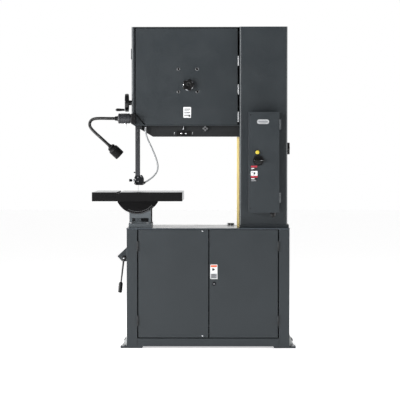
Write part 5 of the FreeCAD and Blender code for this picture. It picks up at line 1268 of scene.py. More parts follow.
# ---------------------------------------------------------------- head
@dataclass
class HeadFittings(Assembly):
    """Clamp knob, ring screws and info plate on the head door; handwheel and its crank."""

    door_y: float = -172.0
    knob_at: Spot = (-133.0, 1755.0)
    knob_r: float = 40.0
    screws: tuple[Spot, ...] = ((-199.5, 1863.0), (-75.0, 1863.0), (-199.5, 1712.0), (-72.0, 1712.0))
    plate: tuple[float, float, float, float] = (-167.0, -115.0, 1537.0, 1609.0)
    wheel_at: Point = (0.0, -142.0, 1638.0)
    wheel_r: float = 61.5
    crank_r: float = 47.0

    def knob(self) -> None:
        """Five-lobed clamp knob with a dished face, cap, collar and stud."""
        x, z = self.knob_at
        back = self.door_y - 0.3
        star = outline_plate("star", Axis.Y, moved(lobed_outline(self.knob_r, 5, 0.24), x, z), back - 34,
                back - 12)
        soften(star, 4.0, 4)
        dish = turned("dish", Axis.Y, (x, back - 34, z), [(0, -3), (21, -3), (19, 2.2), (0, 3)], 40)
        star = smooth(cut(star, dish))
        cap = smooth(turned("cap", Axis.Y, (x, back - 32, z), domed(9.5, 3, -3.2, 1.6, 1.4), 32))
        boss = smooth(turned("boss", Axis.Y, (x, back, z), [(0, -14), (21, -14), (17, -6), (16, 0), (0, 0)],
                40))
        ring = smooth(turned("ring", Axis.Y, (x, back, z),
                [(15, 0), (36, 0), (35, -2.2), (33, -3), (15, -3)], 48))
        stud = turned("stud", Axis.Y, (x, back, z), [(0, 0), (6, 0), (6, 12), (0, 12)], 24)
        knob = self.stack("head_knob_finished",
                [(star, Finish.GLOSS), (cap, Finish.BLACK), (boss, Finish.GLOSS),
                (ring, Finish.CHROME), (smooth(stud), Finish.STEEL)])
        self.fit(knob, "head_knob", replaces=["head_knob"])

    def ring_screws(self) -> None:
        """Socket screws in bright cup washers round the knob."""
        for k, (x, z) in enumerate(self.screws):
            at = (x, self.door_y, z)
            cup = turned("cup", Axis.Y, at,
                    [(7.0, 0.3), (11.0, 0.3), (10.4, -1.6), (9.2, -2.4), (8.0, -1.4)], 40)
            head = turned("head", Axis.Y, at, [(0, 0.3), (8.2, 0.3), (8.2, -0.8), (7.2, -1.6), (0, -1.6)], 32)
            socket = turned("socket", Axis.Y, at, [(0, -3), (2.6, -3), (2.6, -0.6), (0, -0.6)], 6)
            screw = self.stack(f"ring_screw_{k}",
                    [(smooth(cup), Finish.STEEL), (smooth(cut(head, socket)), Finish.BLACK)])
            self.fit(screw, "head_door")

    def info_plate(self) -> None:
        """Pale plate with plain fields and rules, held by four rivets."""
        x0, x1, z0, z1 = self.plate
        y = self.door_y
        base = soften(outline_plate("base", Axis.Y, rounded_outline(x0, x1, z0, z1, 3), y - 1.0, y + 0.2),
                0.3)
        parts = [(base, Finish.WHITE)]
        for k in range(5):
            z = z1 - 14 - 11 * k
            reach = (x1 - x0) * (0.62 if k % 2 else 0.78)
            bar = rounded_outline(x0 + 6, x0 + 6 + reach, z - 2.2, z + 2.2, 1.5)
            parts.append((outline_plate("bar", Axis.Y, bar, y - 1.3, y - 0.9),
                    Finish.GREY if k % 2 else Finish.INK))
        box = rounded_outline(x1 - 17, x1 - 6, z0 + 6, z0 + 20, 1.5)
        parts.append((outline_plate("box", Axis.Y, box, y - 1.3, y - 0.9), Finish.INK))
        for u in (x0 + 3.4, x1 - 3.4):
            for v in (z0 + 3.4, z1 - 3.4):
                parts.append((smooth(turned("rivet", Axis.Y, (u, y - 1.0, v),
                        domed(1.7, 0.2, -0.5, 0.5, 0.3), 14)),
                        Finish.CHROME))
        self.fit(self.stack("info_plate", parts), "head_door")

    def handwheel(self) -> None:
        """Dished handwheel: round rim, three spokes, hub, shaft with its pinion, and the crank's pin."""
        low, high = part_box("handwheel")
        _, y, z = self.wheel_at
        rim_x = low.x / MM + 77.0
        at = (rim_x, y, z)
        section = []
        for k in range(20):
            u, v = math.cos(math.tau * k / 20), math.sin(math.tau * k / 20)
            section.append((self.wheel_r - 6.5 + 6.5 * math.copysign(abs(u) ** 0.55, u),
                    12.5 * math.copysign(abs(v) ** 0.55, v)))
        rim = smooth(turned("rim", Axis.X, at, section, 72), 80)
        hub = smooth(turned("hub", Axis.X, at,
                [(0, -10), (12, -10), (17, -6), (18, 6), (16, 31.2), (0, 31.2)], 48))
        cap = smooth(turned("cap", Axis.X, at, domed(8, -9, -12.5, 1.2, 1.2), 32))
        parts = [(rim, Finish.GLOSS), (hub, Finish.GLOSS), (cap, Finish.CHROME)]
        for k in range(3):
            angle = math.radians(-90 + 120 * k)
            u, v = math.cos(angle), math.sin(angle)
            wide, slim = 9.0, 6.5
            inner, outer = 12.0, self.wheel_r - 8
            corners = [(inner * u - wide * v, inner * v + wide * u),
                       (inner * u + wide * v, inner * v - wide * u),
                       (outer * u + slim * v, outer * v - slim * u),
                       (outer * u - slim * v, outer * v + slim * u)]
            spoke = outline_plate("spoke", Axis.X, moved(corners, y, z), rim_x - 4.5, rim_x + 4.5)
            parts.append((soften(spoke, 3.0, 3), Finish.GLOSS))
        shaft = turned("shaft", Axis.X, (0, y, z),
                [(0, rim_x), (8, rim_x), (8, high.x / MM - 1), (7, high.x / MM), (0, high.x / MM)], 32)
        parts.append((smooth(shaft), Finish.STEEL))
        middle = (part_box("guide_post")[0].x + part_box("guide_post")[1].x) / 2 / MM + 5.5
        teeth = []
        for k in range(12):
            for radius, half in ((7.2, -1.15), (10.4, -0.45), (10.4, 0.45), (7.2, 1.15)):
                turn = math.tau * k / 12 + half / radius
                teeth.append((y + radius * math.cos(turn), z + radius * math.sin(turn)))
        parts.append((soften(outline_plate("pinion", Axis.X, teeth, middle - 7, middle + 7), 0.25),
                Finish.STEEL))
        pin = [(0, low.x / MM), (6.5, low.x / MM), (6.5, low.x / MM + 3.7), (4, low.x / MM + 3.7),
               (4, rim_x - 17.7), (7, rim_x - 17.7), (7, rim_x + 2), (0, rim_x + 2)]
        parts.append((smooth(turned("pin", Axis.X, (0, y, z - self.crank_r), pin, 28)), Finish.CHROME))
        self.fit(self.stack("handwheel_finished", parts), "handwheel", replaces=["handwheel"])

    def crank_grip(self) -> None:
        """Waisted turning grip on the crank's pin."""
        low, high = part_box("crank_grip")
        x0, x1 = low.x / MM, high.x / MM
        _, y, z = self.wheel_at
        profile = [(4.05, x0 + 0.4), (6.5, x0), (9.0, x0 + 3), (10.0, x0 + 10), (9.6, x0 + 22),
                   (8.3, x0 + 36),
                   (7.6, x1 - 6), (8.2, x1 - 2), (7.4, x1), (4.05, x1 - 0.2)]
        grip = smooth(turned("crank_grip_finished", Axis.X, (0, y, z - self.crank_r), profile, 48), 60)
        self.fit(grip, "crank_grip", Finish.GLOSS, ["crank_grip"])

    def build(self) -> None:
        """Builds the fittings."""
        self.knob()
        self.ring_screws()
        self.info_plate()
        self.handwheel()
        self.crank_grip()


# ---------------------------------------------------------------- set-back panel under the head door
@dataclass
class AirPanel(Assembly):
    """Push buttons in their bezel, small valve, star knob and hose fitting."""

    face_y: float = -124.0
    button_xs: Spot = (-180.0, -150.0)
    button_z: float = 1433.0
    bezel: tuple[float, float, float, float] = (-214.0, -118.0, 1416.0, 1450.0)
    tick_xs: Spot = (-228.6, -105.9)
    star_at: Spot = (-20.0, 1465.0)
    hose_at: Spot = (-422.0, -150.0)
    elbow_z: float = 1474.0

    def bezel_plate(self) -> None:
        """Black bezel with a hole for each button and a pale mark at each side."""
        x0, x1, z0, z1 = self.bezel
        y = self.face_y
        plate = soften(outline_plate("bezel", Axis.Y, rounded_outline(x0, x1, z0, z1, 6), y - 2.6, y + 0.3),
                0.8, 3)
        for x in self.button_xs:
            plate = cut(plate, turned("hole", Axis.Y, (x, y, self.button_z),
                    [(0, -5), (6.6, -5), (6.6, 2), (0, 2)], 32))
        parts = [(smooth(plate), Finish.BLACK)]
        for x in self.tick_xs:
            tick = outline_plate("tick", Axis.Y, rounded_outline(x - 1.6, x + 1.6, 1426, 1442, 1.4),
                    y - 1.0, y + 0.2)
            parts.append((soften(tick, 0.3), Finish.SILVER))
        self.fit(self.stack("button_bezel", parts), "frame")

    def buttons(self) -> None:
        """Two chrome push buttons, each with a domed cap on its stem."""
        for name, x in zip(("button_left", "button_right"), self.button_xs):
            back = self.face_y - 4.0
            cap = turned(name, Axis.Y, (x, back, self.button_z), domed(6.0, 0.0, -9.2, 0.8, 1.8), 36)
            stem = turned("stem", Axis.Y, (x, 0, self.button_z),
                    [(0, back - 1), (4, back - 1), (4, -112), (0, -112)], 24)
            button = self.stack(f"{name}_finished",
                    [(smooth(cap), Finish.CHROME), (smooth(stem), Finish.STEEL)])
            self.fit(button, name, replaces=[name])

    def small_valve(self) -> None:
        """Small selector valve above the buttons: body, nut and stub lever."""
        x, y, z = -166.5, self.face_y, 1464.0
        body = soften(outline_plate("body", Axis.Y, rounded_outline(x - 9, x + 9, z - 8, z + 9, 3), y - 12,
                y + 0.2), 1.2, 3)
        nut = smooth(turned("nut", Axis.Y, (x, y - 12, z), [(0, 0), (6, 0), (6, -4), (4.5, -5), (0, -5)], 6))
        lever = [(x - 2.6, z), (x + 2.6, z), (x + 4.4, z + 17), (x + 1.0, z + 19), (x - 1.6, z + 17)]
        arm = soften(outline_plate("arm", Axis.Y, lever, y - 20, y - 16.6), 0.9, 3)
        valve = self.stack("selector_valve",
                [(body, Finish.DARK_STEEL), (nut, Finish.CHROME), (arm, Finish.CHROME)])
        self.fit(valve, "frame")

    def star_knob(self) -> None:
        """Bright four-lobed valve knob with a dark centre."""
        x, z = self.star_at
        y = self.face_y
        star = outline_plate("star", Axis.Y, moved(lobed_outline(18.0, 4, 0.5), x, z), y - 21.5, y - 7)
        soften(star, 2.6, 4)
        hub = smooth(turned("hub", Axis.Y, (x, y, z), [(0, -8), (10, -8), (8.6, -3), (9, -0.4), (0, -0.4)],
                32))
        middle = smooth(turned("middle", Axis.Y, (x, y - 21, z), domed(5.6, 1, -1.4, 0.8, 0.8), 28))
        stem = smooth(turned("stem", Axis.Y, (x, 0, z), [(0, y - 1), (5, y - 1), (5, -110), (0, -110)], 24))
        knob = self.stack("valve_knob_finished",
                [(star, Finish.STEEL), (hub, Finish.CHROME), (middle, Finish.BLACK),
                (stem, Finish.STEEL)])
        self.fit(knob, "valve_knob", replaces=["valve_knob"])

    def hose_fitting(self) -> None:
        """Elbow fitting: hexagon on the panel, swept elbow and the collar that holds the hose."""
        x, y = self.hose_at
        nut = soften(turned("nut", Axis.Y, (x, self.face_y, self.elbow_z),
                [(0, 0), (8, 0), (8, -7), (0, -7)], 6), 0.7)
        washer = smooth(turned("washer", Axis.Y, (x, self.face_y, self.elbow_z),
                [(0, 0), (8, 0), (7.6, -9.5), (0, -9.5)], 32))
        bend = [(x, self.face_y - 5, self.elbow_z), (x, self.face_y - 16, self.elbow_z), (x, y, self.elbow_z),
                (x, y, self.elbow_z - 5), (x, y, 1463)]
        elbow = swept_tube("elbow", route_points(bend, 8), lambda s: 5.6 * MM, 20)
        collar = smooth(turned("collar", Axis.Z, (x, y, 0),
                [(0, 1462), (7, 1462), (7, 1464), (6.4, 1465.4), (7, 1467), (6.2, 1469),
                (0, 1469)], 32))
        fitting = self.stack("air_fitting_finished", [(nut, Finish.CHROME), (washer, Finish.CHROME),
                (elbow, Finish.CHROME), (collar, Finish.CHROME)])
        self.fit(fitting, "frame", replaces=["air_fitting"])

    def build(self) -> None:
        """Builds the panel's pieces."""
        self.bezel_plate()
        self.buttons()
        self.small_valve()
        self.star_knob()
        self.hose_fitting()


# ---------------------------------------------------------------- control box
@dataclass
class ControlBox(Assembly):
    """Disconnect, push button, name plate, labels and screws on the control box."""

    door_y: float = -350.0
    switch_at: Spot = (332.8, 1251.0)
    button_at: Spot = (326.8, 1305.0)
    pill_at: Spot = (364.0, 1507.0)
    pill_size: Spot = (80.0, 30.0)
    label_xs: Spot = (283.0, 327.5)
    side_knob_r: float = 44.0

    def pill(self) -> None:
        """Plain silver plate with a raised rim and no lettering."""
        x, z = self.pill_at
        w, h = self.pill_size
        y = self.door_y
        rim = outline_plate("rim", Axis.Y,
                rounded_outline(x - w / 2, x + w / 2, z - h / 2, z + h / 2, h / 2 - 1, 10),
                y - 2.2, y + 0.2)
        soften(rim, 0.9, 3)
        inset_panel(rim, Vector((0, -1, 0)), 2.6, 0.8)
        field = outline_plate("field", Axis.Y,
                rounded_outline(x - w / 2 + 9, x + w / 2 - 9, z - 5, z + 5, 4, 8), y - 2.1,
                y - 1.2)
        plate = self.stack("name_plate_blank",
                [(smooth(rim), Finish.SILVER), (soften(field, 0.4), Finish.GREY)])
        self.fit(plate, "control_door")

    def button(self) -> None:
        """Yellow push button in a black collar."""
        x, z = self.button_at
        y = self.door_y
        back = y - 6.0
        cap = smooth(turned("cap", Axis.Y, (x, back, z), domed(12.5, 0, -11, 0.9, 2.4), 48))
        stem = smooth(turned("stem", Axis.Y, (x, 0, z),
                [(0, back - 1), (11, back - 1), (11, y + 8), (0, y + 8)], 36))
        button = self.stack("yellow_button_finished", [(cap, Finish.YELLOW), (stem, Finish.YELLOW)])
        self.fit(button, "yellow_button", replaces=["yellow_button"])
        collar = turned("button_collar", Axis.Y, (x, y, z),
                [(11.4, 0.2), (16.5, 0.2), (16.5, -1.2), (14.8, -3.2), (13.6, -3.2), (11.4, -1.6)],
                56)
        self.fit(smooth(collar), "control_door", Finish.BLACK)

    def disconnect(self) -> None:
        """Rotary disconnect: stepped disc, ribbed rim and a bar grip with a pointer."""
        x, z = self.switch_at
        y = self.door_y
        front = y - 0.3
        rim = outline_plate("rim", Axis.Y, moved(lobed_outline(36.0, 8, 0.07, 192), x, z), front - 7.4, front)
        soften(rim, 0.8, 2)
        step = smooth(turned("step", Axis.Y, (x, front, z),
                [(0, -6), (26, -6), (25, -9.4), (22, -10.4), (0, -10.4)], 64))
        bar = block("bar", (x - 31, front - 26, z - 10), (x + 38, front - 8, z + 10))
        start_edit(bar)
        select_faces(bar, lambda normal, _: normal.y < -0.9)
        bpy.ops.transform.resize(value=(0.9, 1.0, 0.62))
        end_edit()
        soften(bar, 3.0, 4)
        pointer = outline_plate("pointer", Axis.Y, rounded_outline(x + 14, x + 26, z - 1.2, z + 1.2, 1.0),
                front - 26.3, front - 25.6)
        shaft = smooth(turned("shaft", Axis.Y, (x, 0, z),
                [(0, front), (8, front), (8, y + 20), (0, y + 20)], 28))
        handle = self.stack("disconnect_finished",
                [(rim, Finish.BLACK), (step, Finish.GLOSS), (bar, Finish.GLOSS),
                (pointer, Finish.SILVER), (shaft, Finish.STEEL)])
        self.fit(handle, "disconnect_handle", replaces=["disconnect_handle"])

    def labels(self) -> None:
        """Stack of small labels under the disconnect, with plain fields and bars."""
        x0, x1 = self.label_xs
        y = self.door_y
        plan = [
            (1184, 1217, Finish.INK, [(x0 + 1, x1 - 2, 1205, 1216, Finish.RED),
                (x0 + 3, x0 + 22, 1196, 1201, Finish.WHITE),
                (x0 + 3, x0 + 14, 1188, 1193, Finish.GREY)]),
            (1150, 1181, Finish.WHITE, [(x0 + 18, x0 + 30, 1158, 1173, Finish.INK),
                (x0 + 4, x0 + 15, 1170, 1176, Finish.GREY)]),
            (1112, 1148, Finish.INK, [(x0, x1, 1138, 1148, Finish.RED),
                (x0 + 3, x0 + 24, 1127, 1133, Finish.WHITE),
                (x0 + 2, x0 + 36, 1114, 1120, Finish.GREY)]),
        ]
        parts = []
        for z0, z1, ground, fields in plan:
            film = outline_plate("film", Axis.Y, rounded_outline(x0, x1, z0, z1, 1.5), y - 0.6, y + 0.2)
            parts.append((film, ground))
            for u0, u1, v0, v1, finish in fields:
                field = outline_plate("field", Axis.Y, rounded_outline(u0, u1, v0, v1, 1.2), y - 0.85,
                        y - 0.5)
                parts.append((field, finish))
        self.fit(self.stack("control_labels", parts), "control_door")

    def door_screws(self) -> None:
        """Two slotted screws at the door's free edge."""
        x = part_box("control_door")[0].x / MM + 11.0
        for k, z in enumerate((934.0, 1552.0)):
            head = turned(f"control_screw_{k}", Axis.Y, (x, self.door_y, z),
                    domed(4.2, 0.4, -1.8, 0.6, 0.7), 24)
            slot = block("slot", (x - 5, self.door_y - 4, z - 0.5), (x + 5, self.door_y - 1.9, z + 0.5))
            self.fit(smooth(cut(head, slot)), "control_door", Finish.DARK_STEEL)

    def gland(self) -> None:
        """Cable gland under the box: hexagon, ribbed dome nut and seal."""
        low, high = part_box("cable_gland")
        x, y = (low.x + high.x) / 2 / MM, (low.y + high.y) / 2 / MM
        top, bottom = high.z / MM, low.z / MM
        flat = soften(turned("flat", Axis.Z, (x, y, 0),
                [(0, top - 12), (18, top - 12), (18, top), (0, top)], 6), 1.0)
        dome = outline_plate("dome", Axis.Z, moved(lobed_outline(15.5, 12, 0.06, 96), x, y), top - 24,
                top - 12)
        soften(dome, 1.4, 3)
        cone = smooth(turned("cone", Axis.Z, (x, y, 0),
                [(0, top - 23), (13.5, top - 23), (9.5, bottom + 1), (8.5, bottom),
                (0, bottom)], 40))
        gland = self.stack("cable_gland_finished",
                [(flat, Finish.BLACK), (dome, Finish.BLACK), (cone, Finish.RUBBER)])
        self.fit(gland, "frame", replaces=["cable_gland"])

    def side_knob(self) -> None:
        """Lobed knob on the column's right side."""
        low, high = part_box("side_knob")
        y, z = 0.0, (low.z + high.z) / 2 / MM
        x0, x1 = high.x / MM - 22.0, high.x / MM
        star = outline_plate("star", Axis.X, moved(lobed_outline(self.side_knob_r, 6, 0.24), y, z), x0 + 2,
                x1)
        soften(star, 4.0, 4)
        dish = turned("dish", Axis.X, (x1, y, z), [(0, 3), (24, 3), (22, -2.4), (0, -3.2)], 40)
        star = smooth(cut(star, dish))
        cap = smooth(turned("cap", Axis.X, (x1 - 3, y, z), domed(10, -1, 1.8, 0.9, 1.2), 32))
        boss = smooth(turned("boss", Axis.X, (x0, y, z), [(0, 0), (20, 0), (22, 3), (0, 3)], 40))
        shaft = smooth(turned("shaft", Axis.X, (0, y, z),
                [(0, low.x / MM), (7, low.x / MM), (7, x0 + 1), (0, x0 + 1)], 24))
        knob = self.stack("side_knob_finished",
                [(star, Finish.GLOSS), (cap, Finish.BLACK), (boss, Finish.GLOSS),
                (shaft, Finish.STEEL)])
        self.fit(knob, "side_knob", replaces=["side_knob"])

    def build(self) -> None:
        """Builds the box's pieces."""
        self.pill()
        self.button()
        self.disconnect()
        self.labels()
        self.door_screws()
        self.gland()
        self.side_knob()


# ---------------------------------------------------------------- lamp
@dataclass
class WorkLamp(Assembly):
    """Gooseneck lamp: mounting block, round base, switch, neck, shade and lens."""

    axis_y: float = -200.0
    axis_z: float = 1531.5
    block_x: Spot = (-515.0, -486.0)
    base_end: float = -602.0
    base_r: float = 34.0
    neck_r: float = 11.0
    rib_pitch: float = 4.6
    switch_at: Point = (-553.0, -200.0, 1494.0)
    shade_r: float = 35.0
    neck: tuple[Point, ...] = (
        (-615, -200, 1531.5), (-665, -200, 1531.5), (-715, -199, 1533), (-764, -198, 1531),
        (-787, -196, 1518.5),
        (-796.5, -194, 1495.5), (-791, -191, 1471), (-759, -187, 1437), (-712, -179, 1395),
        (-664, -170, 1350))

    def base(self) -> None:
        """Black block on the head's corner and the grey round base with its end cap."""
        x0, x1 = self.block_x
        low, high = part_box("lamp_base")
        z0, z1 = self.axis_z - 37.5, self.axis_z + 31.5
        mount = soften(block("mount", (x0, low.y / MM, z0), (x1, high.y / MM, z1)), 2.5, 3)
        end = self.neck[0][0]
        left, right = self.base_end, x0
        body = turned("body", Axis.X, (0, self.axis_y, self.axis_z), [
            (0, right), (30, right), (30, right - 9), (self.base_r - 1, right - 10),
            (self.base_r, right - 12),
            (self.base_r, right - 24), (self.base_r - 1.6, right - 25), (self.base_r - 1.6, right - 29),
            (self.base_r, right - 30), (self.base_r, left + 18), (self.base_r - 1.6, left + 17),
            (self.base_r - 1.6, left + 13), (self.base_r, left + 12), (self.base_r, left + 3),
            (self.base_r - 3.0, left), (0, left)], 72)
        cap = turned("cap", Axis.X, (0, self.axis_y, self.axis_z), [
            (0, left + 2), (21, left + 2), (20, left - 3), (15.5, left - 6), (14.5, end - 8),
            (12.2, end - 10),
            (0, end - 10)], 48)
        bush = turned("bush", Axis.Z, (self.switch_at[0], self.axis_y, 0), [
            (5, 1489), (7, 1489), (7.6, 1490), (7.6, 1497), (7, 1498), (7, 1501), (5, 1501)], 32)
        parts = [(mount, Finish.BLACK), (smooth(body), Finish.LAMP_GREY), (smooth(cap), Finish.BLACK),
                 (smooth(bush), Finish.CHROME)]
        for sy in (-1, 1):
            for z in (z0 + 9, z1 - 9):
                at = (x1 - 7, low.y / MM, z)
                if sy < 0:
                    parts.append((smooth(turned("screw", Axis.Y, at, domed(3.6, 0.5, -2.2, 0.6, 0.8), 20)),
                            Finish.DARK_STEEL))
        self.fit(self.stack("lamp_base_finished", parts), "frame", replaces=["lamp_base"])

    def switch(self) -> None:
        """Toggle: ball and bat."""
        x, y, z = self.switch_at
        ball = turned("ball", Axis.Z, (x, y, z),
                [(4.7 * math.cos(math.radians(a)), 4.7 * math.sin(math.radians(a)))
                for a in range(-90, 91, 15)], 24)
        bat = turned("bat", Axis.Z, (x, y, z),
                [(0, 0), (1.9, 0), (2.1, -8), (3.0, -15), (3.2, -17.5), (2.3, -19.6), (0, -20)], 24)
        toggle = self.stack("lamp_switch_finished",
                [(smooth(ball, 60), Finish.CHROME), (smooth(bat, 60), Finish.CHROME)])
        self.fit(toggle, "lamp_switch", replaces=["lamp_switch"])

    def gooseneck(self) -> None:
        """Ribbed flexible neck with a plain ferrule at each end."""
        path = route_points(self.neck, 40)
        whole = length_of(path)
        pitch = self.rib_pitch * MM

        def radius_at(travelled: float) -> float:
            """Radius along the neck, in metres."""
            if travelled < 0.012 or travelled > whole - 0.014:
                return self.neck_r * MM
            wave = 0.5 + 0.5 * math.cos(math.tau * travelled / pitch)
            return (self.neck_r - 1.5 + 1.3 * wave) * MM
        neck = swept_tube("gooseneck_finished", path, radius_at, 24)
        self.fit(neck, "frame", Finish.GLOSS, ["gooseneck"])

    def shade(self) -> None:
        """Shade: collar, finned shoulder, bell with a rolled mouth, and the lamp inside."""
        end = self.neck[-1]
        heading = tuple(b - a for a, b in zip(self.neck[-2], end))
        r = self.shade_r
        profile = [(0, 0), (12.5, 0), (13.5, 1.5), (13.5, 6), (18, 7.5), (25, 12)]
        for k in range(3):
            along = 14 + 4 * k
            profile += [(27.2, along), (27.2, along + 2), (25.4, along + 2.4), (25.4, along + 3.6)]
        profile += [(28, 26.5), (32.5, 31), (r - 0.5, 35), (r, 40), (r, 94), (r - 0.4, 97), (r - 1.5, 98),
                    (r - 2.5, 97), (r - 2.8, 42), (24, 33), (10, 29), (0, 29)]
        bell = smooth(turned_along("bell", end, heading, profile, 72), 45)
        ring = smooth(turned_along("ring", end, heading,
                [(r - 0.2, 36), (r + 0.3, 37), (r + 0.3, 39), (r - 0.2, 40)], 72))
        led = smooth(turned_along("led", end, heading, [(0, 29.5), (20, 29.5), (20, 36), (18, 38), (0, 38)],
                40))
        shade = self.stack("lamp_head_finished",
                [(bell, Finish.IRON), (ring, Finish.GLOSS), (led, Finish.BULB)])
        self.fit(shade, "frame", replaces=["lamp_head"])
        lens = turned_along("lamp_lens_finished", end, heading,
                [(0, 89.6), (18, 90.2), (r - 3.2, 91.4), (r - 3.2, 93), (18, 93), (0, 93)], 56)
        self.fit(smooth(lens, 60), "frame", Finish.GLASS, ["lamp_lens"])

    def build(self) -> None:
        """Builds the lamp."""
        self.base()
        self.switch()
        self.gooseneck()
        self.shade()


# ---------------------------------------------------------------- blade guide and hose
@dataclass
class BladeGuide(Assembly):
    """Guide block with its knobs and nozzle, thumbscrew, and the air hose."""

    knobs: tuple[tuple[float, float, float], ...] = ((-491.0, 1097.0, 9.0), (-438.0, 1096.0, 9.0),
            (-451.0, 1140.0, 8.0))
    screw_y: float = -98.0
    screw_z: float = 1116.0
    hose_r: float = 6.0
    hose_length: float = 0.417
    route: tuple[Point, ...] = (
        (-422, -150, 1462), (-422, -150, 1430), (-401, -150, 1378), (-373, -147, 1320), (-350, -142, 1262),
        (-338.5, -137, 1216), (-342, -131, 1180), (-363, -125, 1149), (-394, -118, 1122), (-428, -112, 1102))

    def guide(self, bodywork: "BodyWork") -> None:
        """Guide block: rounded casting, black adjusting knobs, socket screws and the nozzle's nut."""
        casting = bodywork.copy_node("guide_block")
        apply_modifier(casting, "BEVEL", width=1.4 * MM, segments=3, limit_method="ANGLE",
                angle_limit=math.radians(34), use_clamp_overlap=True)
        smooth(casting)
        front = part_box("guide_block")[0].y / MM
        parts = [(casting, Finish.DARK_STEEL)]
        for x, z, radius in self.knobs:
            knob = outline_plate("knob", Axis.Y, moved(lobed_outline(radius, 14, 0.06, 84), x, z),
                    front - 9, front + 1)
            parts.append((soften(knob, 1.6, 3), Finish.BLACK))
            parts.append((smooth(turned("pin", Axis.Y, (x, front - 9, z), domed(3.2, 0.5, -1.2, 0.5, 0.5),
                    20)), Finish.CHROME))
        for x, z in ((-473.0, 1108.0), (-473.0, 1136.0)):
            head = turned("head", Axis.Y, (x, front, z),
                    [(0, 0.5), (5, 0.5), (5, -3.4), (4.4, -4), (0, -4)], 28)
            socket = turned("socket", Axis.Y, (x, front, z), [(0, -6), (2.3, -6), (2.3, -2.2), (0, -2.2)], 6)
            parts.append((smooth(cut(head, socket)), Finish.STEEL))
        self.fit(self.stack("guide_block_finished", parts), "guide_post", replaces=["guide_block"])

    def thumbscrew(self) -> None:
        """Knurled thumbscrew with a bright collar and threaded shank."""
        low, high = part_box("thumbscrew")
        x0, x1 = low.x / MM, high.x / MM
        knob = outline_plate("knob", Axis.X,
                moved(lobed_outline(9.0, 30, 0.07, 180), self.screw_y, self.screw_z), x0,
                x0 + 19)
        soften(knob, 0.9, 2)
        at = (0, self.screw_y, self.screw_z)
        collar = smooth(turned("collar", Axis.X, at,
                [(0, x0 + 27), (7, x0 + 27), (8, x0 + 28.4), (8, x0 + 40), (7, x0 + 41.4),
                (0, x0 + 41.4)], 36))
        thread = [(0.0, x0 + 18)]
        for k in range(16):
            along = x0 + 19 + k * (x1 - x0 - 20) / 16
            thread += [(4.0, along), (3.5, along + 0.9)]
        thread += [(3.6, x1), (0.0, x1)]
        shank = smooth(turned("shank", Axis.X, at, thread, 24), 20)
        screw = self.stack("thumbscrew_finished",
                [(knob, Finish.DARK_STEEL), (collar, Finish.CHROME), (shank, Finish.CHROME)])
        self.fit(screw, "thumbscrew", replaces=["thumbscrew"])

    def hose(self) -> None:
        """Limp pale air hose with a ribbed lower end, held by the fitting and the nozzle."""
        path = route_points(self.route, 24)
        whole = length_of(path)

        def radius_at(travelled: float) -> float:
            """Radius along the hose, in metres: plain at the top, ribbed towards the nozzle."""
            share = min(1.0, max(0.0, (travelled - whole + 0.16) / 0.03))
            wave = 0.5 + 0.5 * math.cos(math.tau * travelled / 0.005)
            return (self.hose_r - 0.15 - 0.75 * share * (1 - wave)) * MM
        hose = swept_tube("air_hose_finished", path, radius_at, 20)
        self.palette.dress(hose, Finish.HOSE)
        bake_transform(hose)
        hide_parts("air_hose")
        LOG.info("%s, %.3f m", hose.name, whole)

    def build(self, bodywork: "BodyWork") -> None:
        """Builds the guide's pieces."""
        self.guide(bodywork)
        self.thumbscrew()
        self.hose()


# ---------------------------------------------------------------- table, blade and gear lever
@dataclass
class TableFittings(Assembly):
    """Machined arcs and the tilt scale's graduations on the table's front trunnion segment."""

    pivot: Spot = (-475.3, 1040.0)
    front_y: float = -190.0
    arcs: Spot = (132.5, 146.0)
    sweep: Spot = (-118.0, -42.0)

    def arc_band(self, name: str, radius: float, width: float, proud: float) -> bpy.types.Object:
        """Makes a thin curved rib on the segment's face.

        Args:
            name: The object's name.
            radius: Middle radius about the table's pivot, mm.
            width: Width of the rib, mm.
            proud: How far it stands out, mm.

        Returns:
            The new object.
        """
        px, pz = self.pivot
        first, last = (math.radians(a) for a in self.sweep)
        steps = 36
        turns = [first + (last - first) * k / steps for k in range(steps + 1)]
        outer = [
            (px + (radius + width / 2) * math.cos(a), pz + (radius + width / 2) * math.sin(a)) for a in turns]
        inner = [(px + (radius - width / 2) * math.cos(a), pz + (radius - width / 2) * math.sin(a))
                 for a in reversed(turns)]
        return soften(outline_plate(name, Axis.Y, outer + inner, self.front_y - proud, self.front_y + 0.3),
                0.3)

    def segment_marks(self) -> None:
        """Two machined ribs and the tilt scale's graduations between them."""
        parts = [(self.arc_band("rib", radius, 1.6, 0.9), Finish.STEEL) for radius in self.arcs]
        px, pz = self.pivot
        first, last = self.sweep
        for k in range(int(last - first) // 5 + 1):
            angle = math.radians(first + 5 * k)
            reach = 7.0 if k % 2 == 0 else 4.5
            r1 = self.arcs[1] - 1.2
            u, v = math.cos(angle), math.sin(angle)
            half = 0.35
            corners = [(px + r1 * u - half * v, pz + r1 * v + half * u),
                       (px + r1 * u + half * v, pz + r1 * v - half * u),
                       (px + (r1 - reach) * u + half * v, pz + (r1 - reach) * v - half * u),
                       (px + (r1 - reach) * u - half * v, pz + (r1 - reach) * v + half * u)]
            parts.append((outline_plate("mark", Axis.Y, corners, self.front_y - 0.5, self.front_y + 0.2),
                    Finish.STEEL))
        self.fit(self.stack("tilt_scale", parts), "table")

    def build(self) -> None:
        """Builds the fittings."""
        self.segment_marks()


